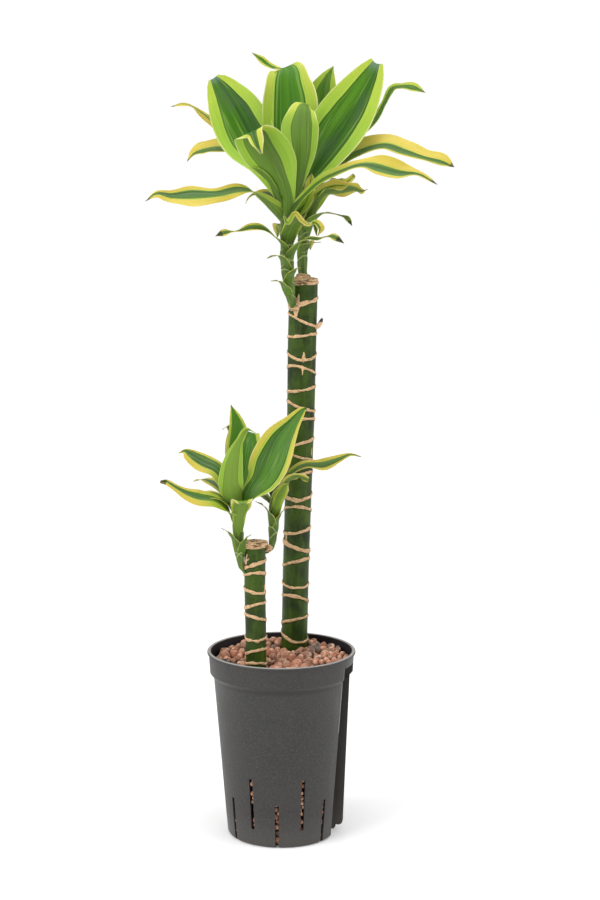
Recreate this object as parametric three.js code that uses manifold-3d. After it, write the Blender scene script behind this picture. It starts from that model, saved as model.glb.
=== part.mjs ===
// A variegated corn plant: two cut canes, each with two leafy shoots, in a plastic culture pot
// filled with expanded clay. Millimetres, +Z up, the front faces -Y. The origin is the centre
// of the pot's underside.
import * as THREE from 'three';
import { mergeVertices } from 'three/addons/utils/BufferGeometryUtils.js';
import Module from 'manifold-3d';

const wasm = await Module();
wasm.setup();

// ---- Driving dimensions -------------------------------------------------------------------

const fitGap = 0.35; // clearance between neighbouring pieces

const pot = {
  height: 190,
  wall: 2.1,
  sides: 48,
  baseRadius: 55, // outside, at the underside
  taper: 0.0825, // growth of the radius for each millimetre of height
  cornerRadius: 4,
  collarFoot: 163, // where the collar starts to stand out of the body
  collarEdge: 168, // top of the chamfer under the collar
  collarRadius: 72.3, // outside, at the collar's lower edge
  collarTop: 187.4,
  collarSpread: 1.2, // growth of the collar's radius up to its top
  lipRadius: 75,
  lipRound: 0.6,
};

// Vertical channel in the wall, which takes a water gauge
const channel = {
  bearing: 77.5, // of its centre line, in degrees from the front towards +X
  near: [-12, -16.5], // its near side, aside from the centre line at the foot and at the head
  far: 13.5,
  floor: 45, // distance of its floor from the pot's axis
  top: 179,
  ledge: 1.6, // thickness of the ledge over its head, inside the pot
  collarNear: -22, // near side of the wider notch that the channel makes in the collar
  collarFloor: 60,
  finThickness: 2,
  finFoot: 4.8,
  finFootReach: 60, // how far the fin beside the channel stands from the pot's axis
  finHeadReach: 67.6,
};

// Drainage slots: low ones and high ones take turns, one place is taken up by the channel
const slots = {
  places: 14,
  first: -4.2, // bearing in degrees from the front
  width: 3.7,
  low: [-1, 45.5],
  high: [18, 71],
  depth: 9, // how far a cutter reaches in from the wall's foot
  skipped: 3,
};

const bed = {
  level: 177.5, // the clay fills the pot up to here, and the top pebbles stand out of it
  pebbles: 50,
  pebbleRadius: [6.4, 9],
  pebbleShape: [1, 0.92, 0.78],
  pebbleLift: [-0.8, 1.4], // pebble centres above the level
  nearness: 0.86, // smallest distance of two pebbles, as a share of their radii together
  reach: 61, // furthest pebble centre from the pot's axis
  seed: 7,
  tries: 6000,
};

// Canes: points on the axis with the radius there, and ring scars by their height on the left,
// at the front, on the right and at the back
const tallCane = {
  sides: 12,
  axis: [[8, 38, 70, 13], [12.8, 45, 180, 13.4], [14.5, 45, 264, 13.4], [16.9, 45, 339, 13.6],
    [19.7, 45, 426, 14.0], [20.7, 45, 490, 14.4], [22.4, 45, 557, 14.4]],
  cut: 563,
  capHeight: 7,
  capFlare: [0.9, 0], // how far the callus stands out all round, and to the right
  rings: [
    [198, 190, 190.5, 197], [207.5, 213, 215, 210], [236, 238, 230, 231], [250, 246.5, 248.5, 252],
    [268.5, 274, 275, 270], [294, 288, 283.5, 290], [302.5, 304, 308, 305], [326.5, 331, 325.5, 323],
    [342, 338, 342.5, 345], [362.5, 364, 366, 363], [384.5, 382.5, 377, 378], [392.5, 396, 400, 395],
    [418.5, 421, 419.5, 417], [439, 432.5, 428, 434], [448, 450, 453, 450], [472.5, 474, 465.5, 467],
    [488, 481.5, 486, 490], [503, 505.5, 507, 503], [528, 519.5, 514.5, 521], [534.5, 537, 542.5, 539],
  ],
};
const shortCane = {
  sides: 12,
  axis: [[-23, -24, 80, 10], [-24.9, -26, 181, 10.2], [-25.4, -26, 225, 10.4],
    [-26.1, -26, 261, 10.4], [-25.8, -26, 297, 10.6]],
  cut: 307.5,
  capHeight: 6,
  capFlare: [1, 2.2],
  rings: [
    [182.8, 185.4, 182.8, 184], [193, 197.7, 198, 195], [210.5, 208, 210.5, 212],
    [233, 232, 227.3, 229], [239.5, 244.4, 246, 242], [260.4, 257, 255.3, 259],
    [273, 276.6, 274, 271], [280.6, 285, 288, 286],
  ],
};
const scarHeight = 1.7; // half the height of a ring scar
const scarRelief = 0.8; // how far it stands out of the cane
const capRound = [1.6, 1.2, 0.6]; // rounding of a cut cap: foot height, shoulder height, inset

const bladeThickness = 0.8;
const sheathRadius = 5.5; // a leaf's foot clasps a stem of about this radius
const defaultCup = 0.35;
const endCup = 0.7; // a leaf's cup at its tip, as a share of its cup at the foot
const leastBend = 0.02;
const footCurl = 0.9; // extra bend at a leaf's foot, which dies out along the first part
const footPart = 0.22;
const tipHalf = 0.5; // half width that a leaf keeps at its tip
const rowLength = 21; // blades are split about this often along their length
const narrowLeaf = 13.6; // a leaf with a half width below this is two strips wide, not four

// A leaf is a list of stations along its midrib: x, y, z, half width, and roll about the
// midrib in degrees, where 0 keeps the blade level from side to side. cup is how far its edges
// rise, in radians, cupEnd the same at the tip, and wave is the height of the waves along them.
const tallLeftStem = [
  [10.8, 28.4, 535, 3.6], [9.3, 26, 546.5, 4.6], [7.5, 24, 559, 5.4], [6.6, 23, 570, 6],
  [5.6, 22, 586, 6.4], [6, 22, 601.5, 6.3], [5.4, 22, 615, 6.2], [5.2, 23, 629, 6],
  [6, 25, 645, 4.2], [7, 26, 655, 2.2]];
const tallLeftLeaves = {
  bigLeft: { cup: 0.3, at: [
    [4, 22, 627, 6, -2], [-3, 27, 648, 8, -33], [-15, 36, 677, 19, -54], [-33, 46, 703, 28.5, -58],
    [-47, 54, 729, 26.5, -57], [-59, 60, 749, 17.5, -54], [-68, 63, 762, 8, -54]] },
  bigRight: { cup: 0.3, at: [
    [7, 24, 631, 6, 9], [18, 24, 653, 8, 40], [32, 30, 675, 19, 60], [51, 40, 705, 27, 66],
    [68, 50, 730, 26.5, 66], [84, 58, 756, 19, 65], [96, 62, 778, 8.5, 59]] },
  backCentre: { cup: 0.3, wave: 1.6, at: [
    [7, 30, 636, 6, -13], [7, 36, 665, 14, -38], [8, 44, 700, 26, -33], [9, 52, 735, 28, -33],
    [7, 58, 757, 23, -25], [6, 66, 771, 16, -22], [-3, 74, 771, 7, -14], [-11, 79, 774, 3.4, -30],
    [-20, 82, 781, 3.6, -50], [-30, 84, 788, 0, -50]] },
  heart: { cup: 0.5, at: [
    [11, 16, 639, 6, -146], [16, 12, 662, 9, -146], [19, 10, 689, 16, -145],
    [18, 12, 711, 19.5, -150], [20, 16, 726, 15, -150], [22, 23, 733, 10.5, -150],
    [26, 33, 734, 4, -150]] },
  frontCurl: { cup: 0.5, cupEnd: -0.5, wave: 2, at: [
    [5, 13, 623, 6, 0], [5, 6, 647, 10, 0], [-5, -2, 672, 24, 2], [-17, -10, 691, 27, 10],
    [-23, -19, 705, 22, 18], [-25, -28, 706, 11, 16], [-22, -32, 695, 6.5, 0],
    [-18, -32, 685, 1.5, 0]] },
  longLeft: { wave: 2.4, at: [
    [3, 22, 619, 6, 46], [-6, 14, 632, 9, 42], [-17, 9, 643, 9, 26], [-28, 5, 649, 8, -18],
    [-43, 2, 649.5, 7.5, -52], [-62, -2, 645.5, 7.8, -58], [-86, -6, 644, 12.3, -62],
    [-106, -9, 643.5, 7.2, -55], [-120, -12, 646.5, 4, -49], [-131, -14, 640, 0, -45]] },
  longRight: { wave: 1.4, at: [
    [6, 12, 623, 6, -59], [19, 6, 641, 8, -35], [38, 0, 660, 10, -17], [60, -5, 671, 11, -10],
    [79, -10, 677, 12, 32], [96, -14, 675, 12, 53], [115, -18, 669, 10, 58], [134, -22, 666, 5, 32],
    [151, -25, 656, 0, 55]] },
  lowLeft: { at: [
    [6, 22, 580, 6, 42], [2, 14, 596, 6, 14], [-6, 10, 605, 6, -10], [-18, 7, 613, 7, -29],
    [-30, 5, 614, 6, -27], [-40, 3, 611, 4.5, -15], [-47, 2, 610, 4, -2], [-56, 0, 609, 4.5, -44],
    [-64, -1, 606, 0, -42]] },
  upperLeft: { at: [
    [3, 34, 636, 6, -12], [-19, 56, 662, 9, -12], [-46, 72, 691, 8, -13], [-67, 80, 714, 6, -24],
    [-81, 82, 726.5, 5, -26], [-91, 82, 734, 4, -6], [-101, 81, 736, 3, -33],
    [-112, 80, 734, 0, -59]] },
  midLeft: { at: [
    [3, 30, 633, 6, -14], [-17, 50, 662, 9, -15], [-38, 60, 686, 10, -22],
    [-60, 64, 693.5, 12.5, -30], [-77, 65, 692, 12, -38], [-88, 65, 688, 7, -45],
    [-95, 64, 679, 0, -49]] },
  frontSmall: { wave: 1, at: [
    [5, 21, 590, 6, -50], [8, 13, 607, 8, -47], [15, 4, 620, 8, -56], [25, 0, 618, 4.5, -40],
    [33, -2, 616, 4.5, 0], [35, -3, 606.5, 0, 22]] },
  lowRight: { at: [
    [7, 21, 575, 6, -56], [11, 14, 589, 6, -19], [19, 7, 600, 6, 3], [28, 2, 603, 6, 16],
    [37, 0, 603, 4.5, 22], [44, -1, 605, 3, 7], [52, -2, 605, 5, 36], [62, -3, 599, 0, 37]] },
  smallLeft: { at: [
    [8, 21, 566, 5.5, 32], [5, 15, 577, 6, 4], [-1, 6, 586, 5, 1], [-8, 4, 586, 3, -2],
    [-14, 3, 584, 0, -14]] },
  smallRight: { at: [
    [6, 21, 554, 5, -41], [8, 15, 564, 5, -16], [14, 6, 573, 3.5, 6], [21, 4, 575, 0, 13]] },
  footLeft: { at: [
    [9, 24, 543, 4.5, 38], [5, 17, 553, 5, 11], [-1, 6, 561, 3.5, -9], [-10, 4, 562, 0, -11]] },
  underLeft: { at: [
    [2, 13, 634, 4, 85], [-9, 3, 656.5, 3, 75], [-15, 2, 664, 3.2, 75], [-22, 3, 669.5, 2.6, 70],
    [-28, 5, 672.5, 0, 60]] },
  rearLeft: sprout([2, 34, 628], 128, 140, 72, 38, 17),
  rearInner: sprout([4, 36, 634], 104, 118, 80, 50, 15),
  rearLow: sprout([4, 24, 604], 96, 90, 30, -40, 8),
};

const tallRightStem = [
  [22.4, 64.4, 545, 4], [21.9, 64.9, 563, 4.6], [21.3, 64.4, 569, 4.6], [20.9, 63.6, 584, 5],
  [22, 63, 599, 5.2], [23, 63, 615, 5.6], [25, 63, 632, 5.8], [27, 64, 648, 4.4], [28, 65, 658, 2.2]];
const tallRightLeaves = {
  backUpright: { at: [
    [27, 70, 645, 6, 16], [29, 84, 681, 12, 28], [36, 94, 716, 19, 29], [41, 100, 744, 17, 30],
    [47, 102, 763, 9, 31], [53, 103, 776, 0, 31]] },
  thinRight: { at: [
    [28, 66, 640, 6, 22], [49, 82, 673, 8, 13], [72, 90, 697, 8, 8], [95, 92, 721, 6, 40],
    [104, 91, 737, 6, 42], [112, 89, 752, 5, 42], [122, 87, 754.5, 5, 46], [134, 85, 753.5, 6, 56],
    [146, 83, 748, 0, 60]] },
  farRight: { wave: 1, at: [
    [29, 60, 635, 6, 39], [42, 60, 660, 10, 38], [61, 58, 682, 13, 42], [81, 55, 692, 13.5, 39],
    [104, 50, 697, 13, 41], [124, 45, 691, 12, 39], [143, 40, 684, 9, 39], [160, 36, 680, 8, 53],
    [172, 33, 673, 0, 58]] },
  foldedRight: { wave: 2.5, at: [
    [25, 62, 612, 6, -53], [31, 54, 633, 9, -34], [41, 43, 647, 11, -30], [57, 38, 651, 12, -36],
    [71, 34, 652, 11, -36], [79, 31, 650, 6, -32], [86, 29, 651, 0, 2]] },
  curvedRight: { at: [
    [24, 62, 602, 5.5, -58], [31, 54, 620, 6, -21], [41, 46, 627, 6, -4], [51, 44, 627, 4, 6],
    [59, 43, 625, 3, -3], [66, 42, 622, 4.5, 24], [71, 41, 615, 0, 21]] },
  lowTwig: { at: [
    [21, 63, 578, 4, -47], [19, 56, 592, 3, -22], [28, 52, 597, 2.2, -11], [40, 50, 598.5, 0, 3]] },
  yellowUpright: { at: [
    [23, 61, 618, 5, 36], [25, 52, 631, 6, 70], [31, 47, 645, 7.5, 80], [35, 46, 659, 6.5, 82],
    [36, 46, 668, 1, 83]] },
  behindLeft: { at: [
    [22, 63, 622, 6, -17], [6, 61, 639, 8, -35], [-13, 58, 646, 8, -31], [-27, 56, 646, 5, -18],
    [-33, 54, 642, 2.5, -4], [-36, 53, 637, 0, -3]] },
  rearTall: sprout([26, 66, 646], 92, 128, 76, 44, 18),
  rearRight: sprout([28, 65, 640], 60, 132, 60, 10, 15),
  rearLeft: sprout([25, 65, 638], 120, 128, 56, 4, 15),
  rearLong: sprout([26, 66, 626], 92, 128, 40, -28, 12),
  rearLow: sprout([23, 66, 606], 98, 100, 30, -50, 8),
  innerRight: sprout([30, 62, 648], 38, 112, 74, 48, 15),
  rearShort: sprout([24, 66, 590], 84, 60, 30, -40, 6),
};

const shortLeftStem = [
  [-39.4, -31.2, 281, 2.4], [-40.2, -31, 288, 3.2], [-41.4, -31, 304, 4.2], [-42.3, -31, 329, 5.2],
  [-41.2, -30, 345, 5], [-40.4, -29, 356, 3.6], [-40, -28, 364, 2]];
const shortLeftLeaves = {
  upright: { at: [
    [-40, -24, 346, 6, 4], [-42, -14, 371, 14, -6], [-42, -6, 395, 14, -6], [-43, -2, 414, 10, -2],
    [-46, 1, 427, 6, 2], [-50, 4, 439, 0, 1]] },
  twistBehind: { at: [
    [-43, -20, 347, 5, 17], [-47, -4, 375, 6, 16], [-50, 6, 395, 5, 16], [-52, 10, 406, 3, 56],
    [-53, 12, 416, 3, -5], [-59, 13, 413, 0, -64]] },
  paleBroad: { at: [
    [-41, -36, 342, 6, -64], [-48, -42, 361, 12, -68], [-48, -44, 379, 11.4, -67],
    [-44.5, -44, 396, 8, -70], [-40, -44, 409, 4, -65], [-33, -43, 420, 3, -47],
    [-24, -42, 417, 0, -15]] },
  behindRight: { at: [
    [-39, -24, 346, 6, 2], [-36, -16, 368, 12, 12], [-32, -10, 392, 14, 11], [-30, -5, 407, 10, 0],
    [-31, 0, 412, 6, 48]] },
  bigRight: { at: [
    [-37, -34, 337, 6, 21], [-30, -37, 356, 9, 50], [-18, -38, 371, 16.6, 65],
    [-10, -37, 388.5, 20, 70], [-1, -34, 408.5, 17, 70], [11, -30, 425, 9, 70],
    [20, -27, 436, 4.6, 66], [25, -26, 439.5, 1.2, 50]] },
  upperLeft: { at: [
    [-42, -28, 340, 6, -3], [-52, -22, 358, 9, -24], [-63, -16, 375, 10, -36],
    [-78, -10, 382, 10.6, -42], [-90, -6, 389, 8, -42], [-96, -4, 393, 3, -50],
    [-102, -3, 391.5, 0, -60]] },
  lowLeft: { wave: 0.8, at: [
    [-44, -38, 328, 5.5, 70], [-52, -42, 340, 7, -8], [-64, -46, 350, 9, -39],
    [-79, -49, 353, 10, -42], [-92, -50, 358, 7.5, -44], [-104, -50, 365, 4.2, -49],
    [-111, -50, 369.5, 2.8, -46], [-117, -50, 370, 0, -48]] },
  overLeft: { at: [
    [-45, -34, 335, 6, 12], [-55, -37, 349, 7, -16], [-68, -39, 355, 7, -22],
    [-82, -40, 356, 4.5, -20], [-98, -41, 355, 0, -20]] },
  frontCup: { wave: 1.4, at: [
    [-42, -35, 313, 6, 0], [-41, -40, 331, 9, 0], [-39, -44, 343, 11, 0], [-37.5, -49, 351, 9.5, 0],
    [-36.5, -54, 348.5, 4, 0]] },
  thinLeft: { at: [
    [-41, -30, 290, 4.5, 49], [-44, -35, 305, 4.5, 22], [-50, -41, 317, 3, 1],
    [-58, -43, 323, 0, -11]] },
  thinRight: { at: [
    [-40, -31, 290, 4.5, -30], [-38, -37, 303, 4, -13], [-34, -44, 313, 2.5, 13],
    [-29, -45, 317, 0, 24]] },
  rear: sprout([-41, -24, 345], 98, 90, 70, 40, 12),
  rearLow: sprout([-43, -24, 338], 122, 95, 35, -20, 10),
  rearRight: sprout([-39, -24, 343], 84, 55, 66, 20, 9),
};

const shortRightStem = [
  [-9.4, -21.6, 298.5, 2.4], [-8.4, -20.4, 306, 3.4], [-8, -19, 322, 4.2], [-7.5, -18.5, 340, 4.6],
  [-6.4, -18, 352, 3.8], [-5.6, -18, 362, 2]];
const shortRightLeaves = {
  hookLeft: { at: [
    [-8, -20, 314, 4.5, 45], [-10, -25, 330, 5.5, -2], [-16, -31, 342, 4, -19],
    [-25, -33, 348, 0, -20]] },
  hookRight: { at: [
    [-8, -20, 308, 4, -53], [-4, -22, 324, 4.5, -4], [0, -27, 335, 3, 9], [6, -28, 340, 0, 10]] },
  longRight: { at: [
    [-7, -19, 336, 5.5, 14], [0, -13, 357, 7, 4], [9, -8, 371, 8, 4], [24, -4, 379, 8, 18],
    [41, -2, 379, 8.5, 34], [56, 0, 384, 6.5, 27], [69, 1, 389, 3.5, 19], [80, 2, 387, 0, 34]] },
  folded: { wave: 1, at: [
    [-6, -21, 335, 5.5, -47], [-1, -25, 354, 8, -29], [6, -32, 367, 7.5, -12],
    [15, -34, 373, 7, -28], [22, -35, 371.5, 6, -45], [28, -36, 369, 4, -55]] },
  pale: { at: [
    [-7, -22, 330, 5, -48], [-3, -28, 347, 5.4, -48], [3, -36, 361, 5.2, -51],
    [7.5, -39, 367, 0, -46]] },
  rearLeft: sprout([-8, -17, 350], 124, 44, 60, 30, 8),
  rear: sprout([-7, -16, 350], 104, 90, 56, 10, 11),
  upright: sprout([-6, -18, 356], 60, 72, 80, 62, 10),
  rearLow: sprout([-7, -16, 340], 118, 70, 25, -40, 7),
};

// ---- Curves and frames --------------------------------------------------------------------

function radians(degrees) {
  return (degrees * Math.PI) / 180;
}

// Repeatable random numbers between 0 and 1
function dice(seed) {
  let state = seed;
  return () => {
    state = (state * 16807) % 2147483647;
    return state / 2147483647;
  };
}

// Catmull-Rom curve through rows of numbers, at u from 0 to 1
function smooth(rows, u) {
  const last = rows.length - 1;
  const k = Math.min(Math.floor(u * last), last - 1);
  const f = u * last - k;
  const row = (i) => {
    if (i < 0) return rows[0].map((v, c) => 2 * v - rows[1][c]);
    if (i > last) return rows[last].map((v, c) => 2 * v - rows[last - 1][c]);
    return rows[i];
  };
  const [a, b, c, d] = [row(k - 1), row(k), row(k + 1), row(k + 2)];
  return b.map((v, i) => 0.5 * (2 * v + (c[i] - a[i]) * f
    + (2 * a[i] - 5 * v + 4 * c[i] - d[i]) * f * f
    + (3 * v - a[i] - 3 * c[i] + d[i]) * f * f * f));
}

function pathLength(rows) {
  let length = 0;
  for (let i = 1; i < rows.length; i++) {
    length += Math.hypot(...[0, 1, 2].map((c) => rows[i][c] - rows[i - 1][c]));
  }
  return length;
}

// A leaf that leaves the stem at a point, on a bearing counted from +X towards the back. Its
// midrib starts at the angle rise above level and ends at the angle fall.
function sprout(from, bearing, length, rise, fall, half) {
  const widths = [Math.min(sheathRadius / half, 0.9), 0.62, 0.95, 1, 0.72, 0];
  const steps = 60;
  const stations = [];
  let out = 0;
  let up = 0;
  for (let i = 0; i <= steps; i++) {
    if ((i * 5) % steps === 0) {
      stations.push([
        from[0] + out * Math.cos(radians(bearing)),
        from[1] + out * Math.sin(radians(bearing)),
        from[2] + up, half * widths[(i * 5) / steps], 0,
      ]);
    }
    const slope = radians(rise + (fall - rise) * ((i + 0.5) / steps) ** 1.2);
    out += (Math.cos(slope) * length) / steps;
    up += (Math.sin(slope) * length) / steps;
  }
  return { at: stations };
}

// ---- Solids -------------------------------------------------------------------------------

// Turns a closed three.js geometry into a solid that can be joined and cut
function solid(geometry) {
  const bare = geometry.index ? geometry.toNonIndexed() : geometry.clone();
  bare.deleteAttribute('normal');
  bare.deleteAttribute('uv');
  const merged = mergeVertices(bare, 1e-4);
  const triangles = [];
  for (let i = 0; i < merged.index.count; i += 3) {
    const [a, b, c] = [0, 1, 2].map((k) => merged.index.getX(i + k));
    if (a !== b && b !== c && c !== a) triangles.push(a, b, c);
  }
  return new wasm.Manifold(new wasm.Mesh({
    numProp: 3,
    vertProperties: new Float32Array(merged.attributes.position.array),
    triVerts: new Uint32Array(triangles),
  }));
}

function fuse(solids) {
  return solids.reduce((whole, piece) => whole.add(piece));
}

// The largest shell of a solid: hollows sealed by fusing are filled and loose scraps dropped
function mainBody(whole) {
  return whole.decompose().reduce((best, part) => (part.volume() > best.volume() ? part : best));
}

function meshOf(name, body, material) {
  const { vertProperties, triVerts } = mainBody(body).getMesh();
  const geometry = new THREE.BufferGeometry();
  geometry.setAttribute('position', new THREE.BufferAttribute(new Float32Array(vertProperties), 3));
  geometry.setIndex(new THREE.BufferAttribute(new Uint32Array(triVerts), 1));
  const mesh = new THREE.Mesh(geometry, material);
  mesh.name = name;
  return mesh;
}

function indexed(positions, triangles) {
  const geometry = new THREE.BufferGeometry();
  geometry.setAttribute('position', new THREE.Float32BufferAttribute(positions, 3));
  geometry.setIndex(triangles);
  return geometry;
}

// Turned solid about Z. The profile of [radius, height] runs up from the axis and back to it.
function turned(profile, sides) {
  const points = profile.map(([r, z]) => new THREE.Vector2(r, z));
  return solid(new THREE.LatheGeometry(points, sides).rotateX(Math.PI / 2));
}

// Upright prism from a plan outline of [x, y] points
function prism(outline, low, high) {
  const shape = new THREE.Shape(outline.map(([x, y]) => new THREE.Vector2(x, y)));
  const options = { depth: high - low, bevelEnabled: false };
  return solid(new THREE.ExtrudeGeometry(shape, options).translate(0, 0, low));
}

// Plan point at a distance out along a bearing from the front, and aside from that line
function planPoint(bearing, out, aside) {
  const [s, c] = [Math.sin(radians(bearing)), Math.cos(radians(bearing))];
  return [out * s + aside * c, -out * c + aside * s];
}

function planBox(bearing, out, aside, low, high) {
  const corners = [[out[0], aside[0]], [out[1], aside[0]], [out[1], aside[1]], [out[0], aside[1]]];
  return prism(corners.map(([o, a]) => planPoint(bearing, o, a)), low, high);
}

// Closed skin over rings of equal length, with a fan over each end
function lofted(rings) {
  const sides = rings[0].length;
  const positions = rings.flat(2);
  const triangles = [];
  for (let i = 0; i < rings.length - 1; i++) {
    for (let j = 0; j < sides; j++) {
      const [a, b] = [i * sides + j, i * sides + ((j + 1) % sides)];
      triangles.push(a, b, b + sides, a, b + sides, a + sides);
    }
  }
  const end = (rings.length - 1) * sides;
  for (let j = 1; j < sides - 1; j++) {
    triangles.push(0, j + 1, j, end, end + j, end + j + 1);
  }
  return solid(indexed(positions, triangles));
}

// ---- Pot ----------------------------------------------------------------------------------

function bodyRadius(z) {
  return pot.baseRadius + pot.taper * z;
}

function outerProfile() {
  const c = pot.cornerRadius;
  const corner = [20, 50, 90].map((a) => [
    bodyRadius(c) - c + c * Math.sin(radians(a)), c - c * Math.cos(radians(a)),
  ]);
  return [
    [0, 0], [bodyRadius(c) - c, 0], ...corner,
    [bodyRadius(pot.collarFoot), pot.collarFoot],
    [pot.collarRadius, pot.collarEdge],
    [pot.collarRadius + pot.collarSpread, pot.collarTop],
    [pot.lipRadius, pot.collarTop + pot.lipRound],
    [pot.lipRadius, pot.height - pot.lipRound],
    [pot.lipRadius - pot.lipRound, pot.height], [0, pot.height],
  ];
}

function innerProfile(gap, top) {
  const inset = pot.wall + gap;
  const c = pot.cornerRadius;
  const rows = [
    [0, inset], [bodyRadius(c) - c, inset], [bodyRadius(c) - inset, c + inset],
    [bodyRadius(pot.collarFoot) - inset, pot.collarFoot],
    [pot.collarRadius - inset, pot.collarEdge + 1],
    [pot.collarRadius + pot.collarSpread - inset, pot.collarTop],
  ].filter(([, z]) => z < top);
  return [...rows, [rows.at(-1)[0], top], [0, top]];
}

// The channel's room and its notch in the collar, wider all round by grow and higher by lift
function channelRoom(grow, lift) {
  const { bearing, near, far, floor, collarNear, collarFloor } = channel;
  const head = pot.collarFoot + 1;
  const top = channel.top + lift;
  const reach = pot.lipRadius + 5;
  const ring = (z, side) => [
    [floor - grow, side - grow], [reach, side - grow], [reach, far + grow], [floor - grow, far + grow],
  ].map(([out, aside]) => [...planPoint(bearing, out, aside), z]);
  return fuse([
    lofted([ring(-1, near[0]), ring(head, near[1]), ring(top, near[1])]),
    planBox(bearing, [collarFloor - grow, reach], [collarNear - grow, far + grow], head - grow, top),
  ]);
}

function channelHousing(gap) {
  return channelRoom(pot.wall + gap, channel.ledge + gap);
}

// The thin fin that carries on the channel's far wall outside the body
function channelFin() {
  const { finFoot, finFootReach, finHeadReach, finThickness } = channel;
  const outline = [
    [channel.floor + 2, finFoot], [finFootReach - 2.6, finFoot], [finFootReach, finFoot + 1.6],
    [finFootReach + 1.2, finFoot + 5], [finHeadReach, pot.collarEdge - 2],
    [finHeadReach, pot.collarEdge + 3], [channel.floor + 2, pot.collarEdge + 3],
  ];
  const shape = new THREE.Shape(outline.map(([r, z]) => new THREE.Vector2(r, z)));
  const geometry = new THREE.ExtrudeGeometry(shape, { depth: finThickness, bevelEnabled: false });
  geometry.rotateX(Math.PI / 2); // the outline stands up, and its thickness runs along -Y
  geometry.translate(0, channel.far + finThickness, 0);
  geometry.rotateZ(radians(channel.bearing - 90));
  return solid(geometry);
}

function slotCutters() {
  const cutters = [];
  for (let k = 0; k < slots.places; k++) {
    if (k === slots.skipped) continue;
    const bearing = slots.first + (360 / slots.places) * k;
    const [low, high] = k % 2 === 0 ? slots.low : slots.high;
    const half = slots.width / 2;
    const across = [bodyRadius(0) - slots.depth, bodyRadius(high) + 1];
    cutters.push(planBox(bearing, across, [-half, half], low, high));
  }
  return cutters;
}

function makePot() {
  const cavity = turned(innerProfile(0, pot.height + 2), pot.sides).subtract(channelHousing(0));
  return slotCutters().reduce((body, cutter) => body.subtract(cutter),
    turned(outerProfile(), pot.sides).add(channelFin())
      .subtract(channelRoom(0, 0)).subtract(cavity));
}

// ---- Canes --------------------------------------------------------------------------------

// Height of a ring scar at an angle from +X, through its left, front, right and back heights
function scarLevel([left, front, right, back], angle) {
  const mean = (left + front + right + back) / 4;
  const twice = (right + left - front - back) / 4;
  return mean + ((right - left) / 2) * Math.cos(angle) + ((back - front) / 2) * Math.sin(angle)
    + twice * Math.cos(2 * angle);
}

function caneAxisAt(cane, z) {
  const rows = cane.axis;
  let k = 0;
  while (k < rows.length - 2 && rows[k + 1][2] < z) k++;
  const f = (z - rows[k][2]) / (rows[k + 1][2] - rows[k][2]);
  return rows[k].map((v, c) => v + (rows[k + 1][c] - v) * f);
}

// One ring of points round the cane: level(angle) gives the height and relief(angle) the
// distance that it stands out
function caneRing(cane, level, relief) {
  return Array.from({ length: cane.sides }, (_, j) => {
    const angle = (2 * Math.PI * j) / cane.sides;
    const z = level(angle);
    const [x, y, , radius] = caneAxisAt(cane, z);
    const r = radius + relief(angle);
    return [x + r * Math.cos(angle), y + r * Math.sin(angle), z];
  });
}

function makeCane(cane) {
  const flat = () => 0;
  const rings = [caneRing(cane, () => cane.axis[0][2], flat)];
  for (const scar of cane.rings) {
    const middle = (angle) => scarLevel(scar, angle);
    rings.push(caneRing(cane, (a) => middle(a) - scarHeight, flat));
    rings.push(caneRing(cane, middle, () => scarRelief));
    rings.push(caneRing(cane, (a) => middle(a) + scarHeight, flat));
  }
  const flare = (angle) => cane.capFlare[0] + cane.capFlare[1] * Math.max(0, Math.cos(angle)) ** 3;
  rings.push(caneRing(cane, () => cane.cut - cane.capHeight, flat));
  rings.push(caneRing(cane, () => cane.cut - cane.capHeight + capRound[0], flare));
  rings.push(caneRing(cane, () => cane.cut - capRound[1], flare));
  rings.push(caneRing(cane, () => cane.cut, () => -capRound[2]));
  return lofted(rings);
}

// ---- Clay bed -----------------------------------------------------------------------------

// Pebble centres spread by rejection: each new one keeps away from those already placed
function pebblePlaces() {
  const random = dice(bed.seed);
  const between = ([low, high]) => low + (high - low) * random();
  const places = [];
  for (let tries = 0; tries < bed.tries && places.length < bed.pebbles; tries++) {
    const reach = bed.reach * Math.sqrt(random());
    const angle = 2 * Math.PI * random();
    const radius = between(bed.pebbleRadius);
    const place = { x: reach * Math.cos(angle), y: reach * Math.sin(angle), radius };
    const clear = places.every((p) => (
      Math.hypot(p.x - place.x, p.y - place.y) > bed.nearness * (p.radius + place.radius)));
    if (clear) places.push({ ...place, lift: between(bed.pebbleLift), turn: 2 * Math.PI * random() });
  }
  return places;
}

// Plain hole for a cane, wide enough for its ring scars
function caneHole(cane) {
  const clearance = scarRelief + fitGap;
  const heights = [cane.axis[0][2] - fitGap, cane.axis[1][2], bed.level + 12];
  return lofted(heights.map((z) => caneRing(cane, () => z, () => clearance)));
}

function makeBed() {
  const pebbles = pebblePlaces().map(({ x, y, radius, lift, turn }) => {
    const geometry = new THREE.IcosahedronGeometry(radius, 0);
    geometry.rotateX(turn / 2).rotateZ(turn).scale(...bed.pebbleShape);
    return solid(geometry.translate(x, y, bed.level + lift));
  });
  const filling = turned(innerProfile(fitGap, bed.level), pot.sides);
  return fuse([filling, ...pebbles])
    .subtract(channelHousing(fitGap))
    .subtract(caneHole(tallCane))
    .subtract(caneHole(shortCane));
}

// ---- Leafy shoots -------------------------------------------------------------------------

function makeStem(stations) {
  const sides = 10;
  return lofted(stations.map(([x, y, z, r]) => (
    Array.from({ length: sides }, (_, j) => {
      const angle = (2 * Math.PI * j) / sides;
      return [x + r * Math.cos(angle), y + r * Math.sin(angle), z];
    }))));
}

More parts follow.
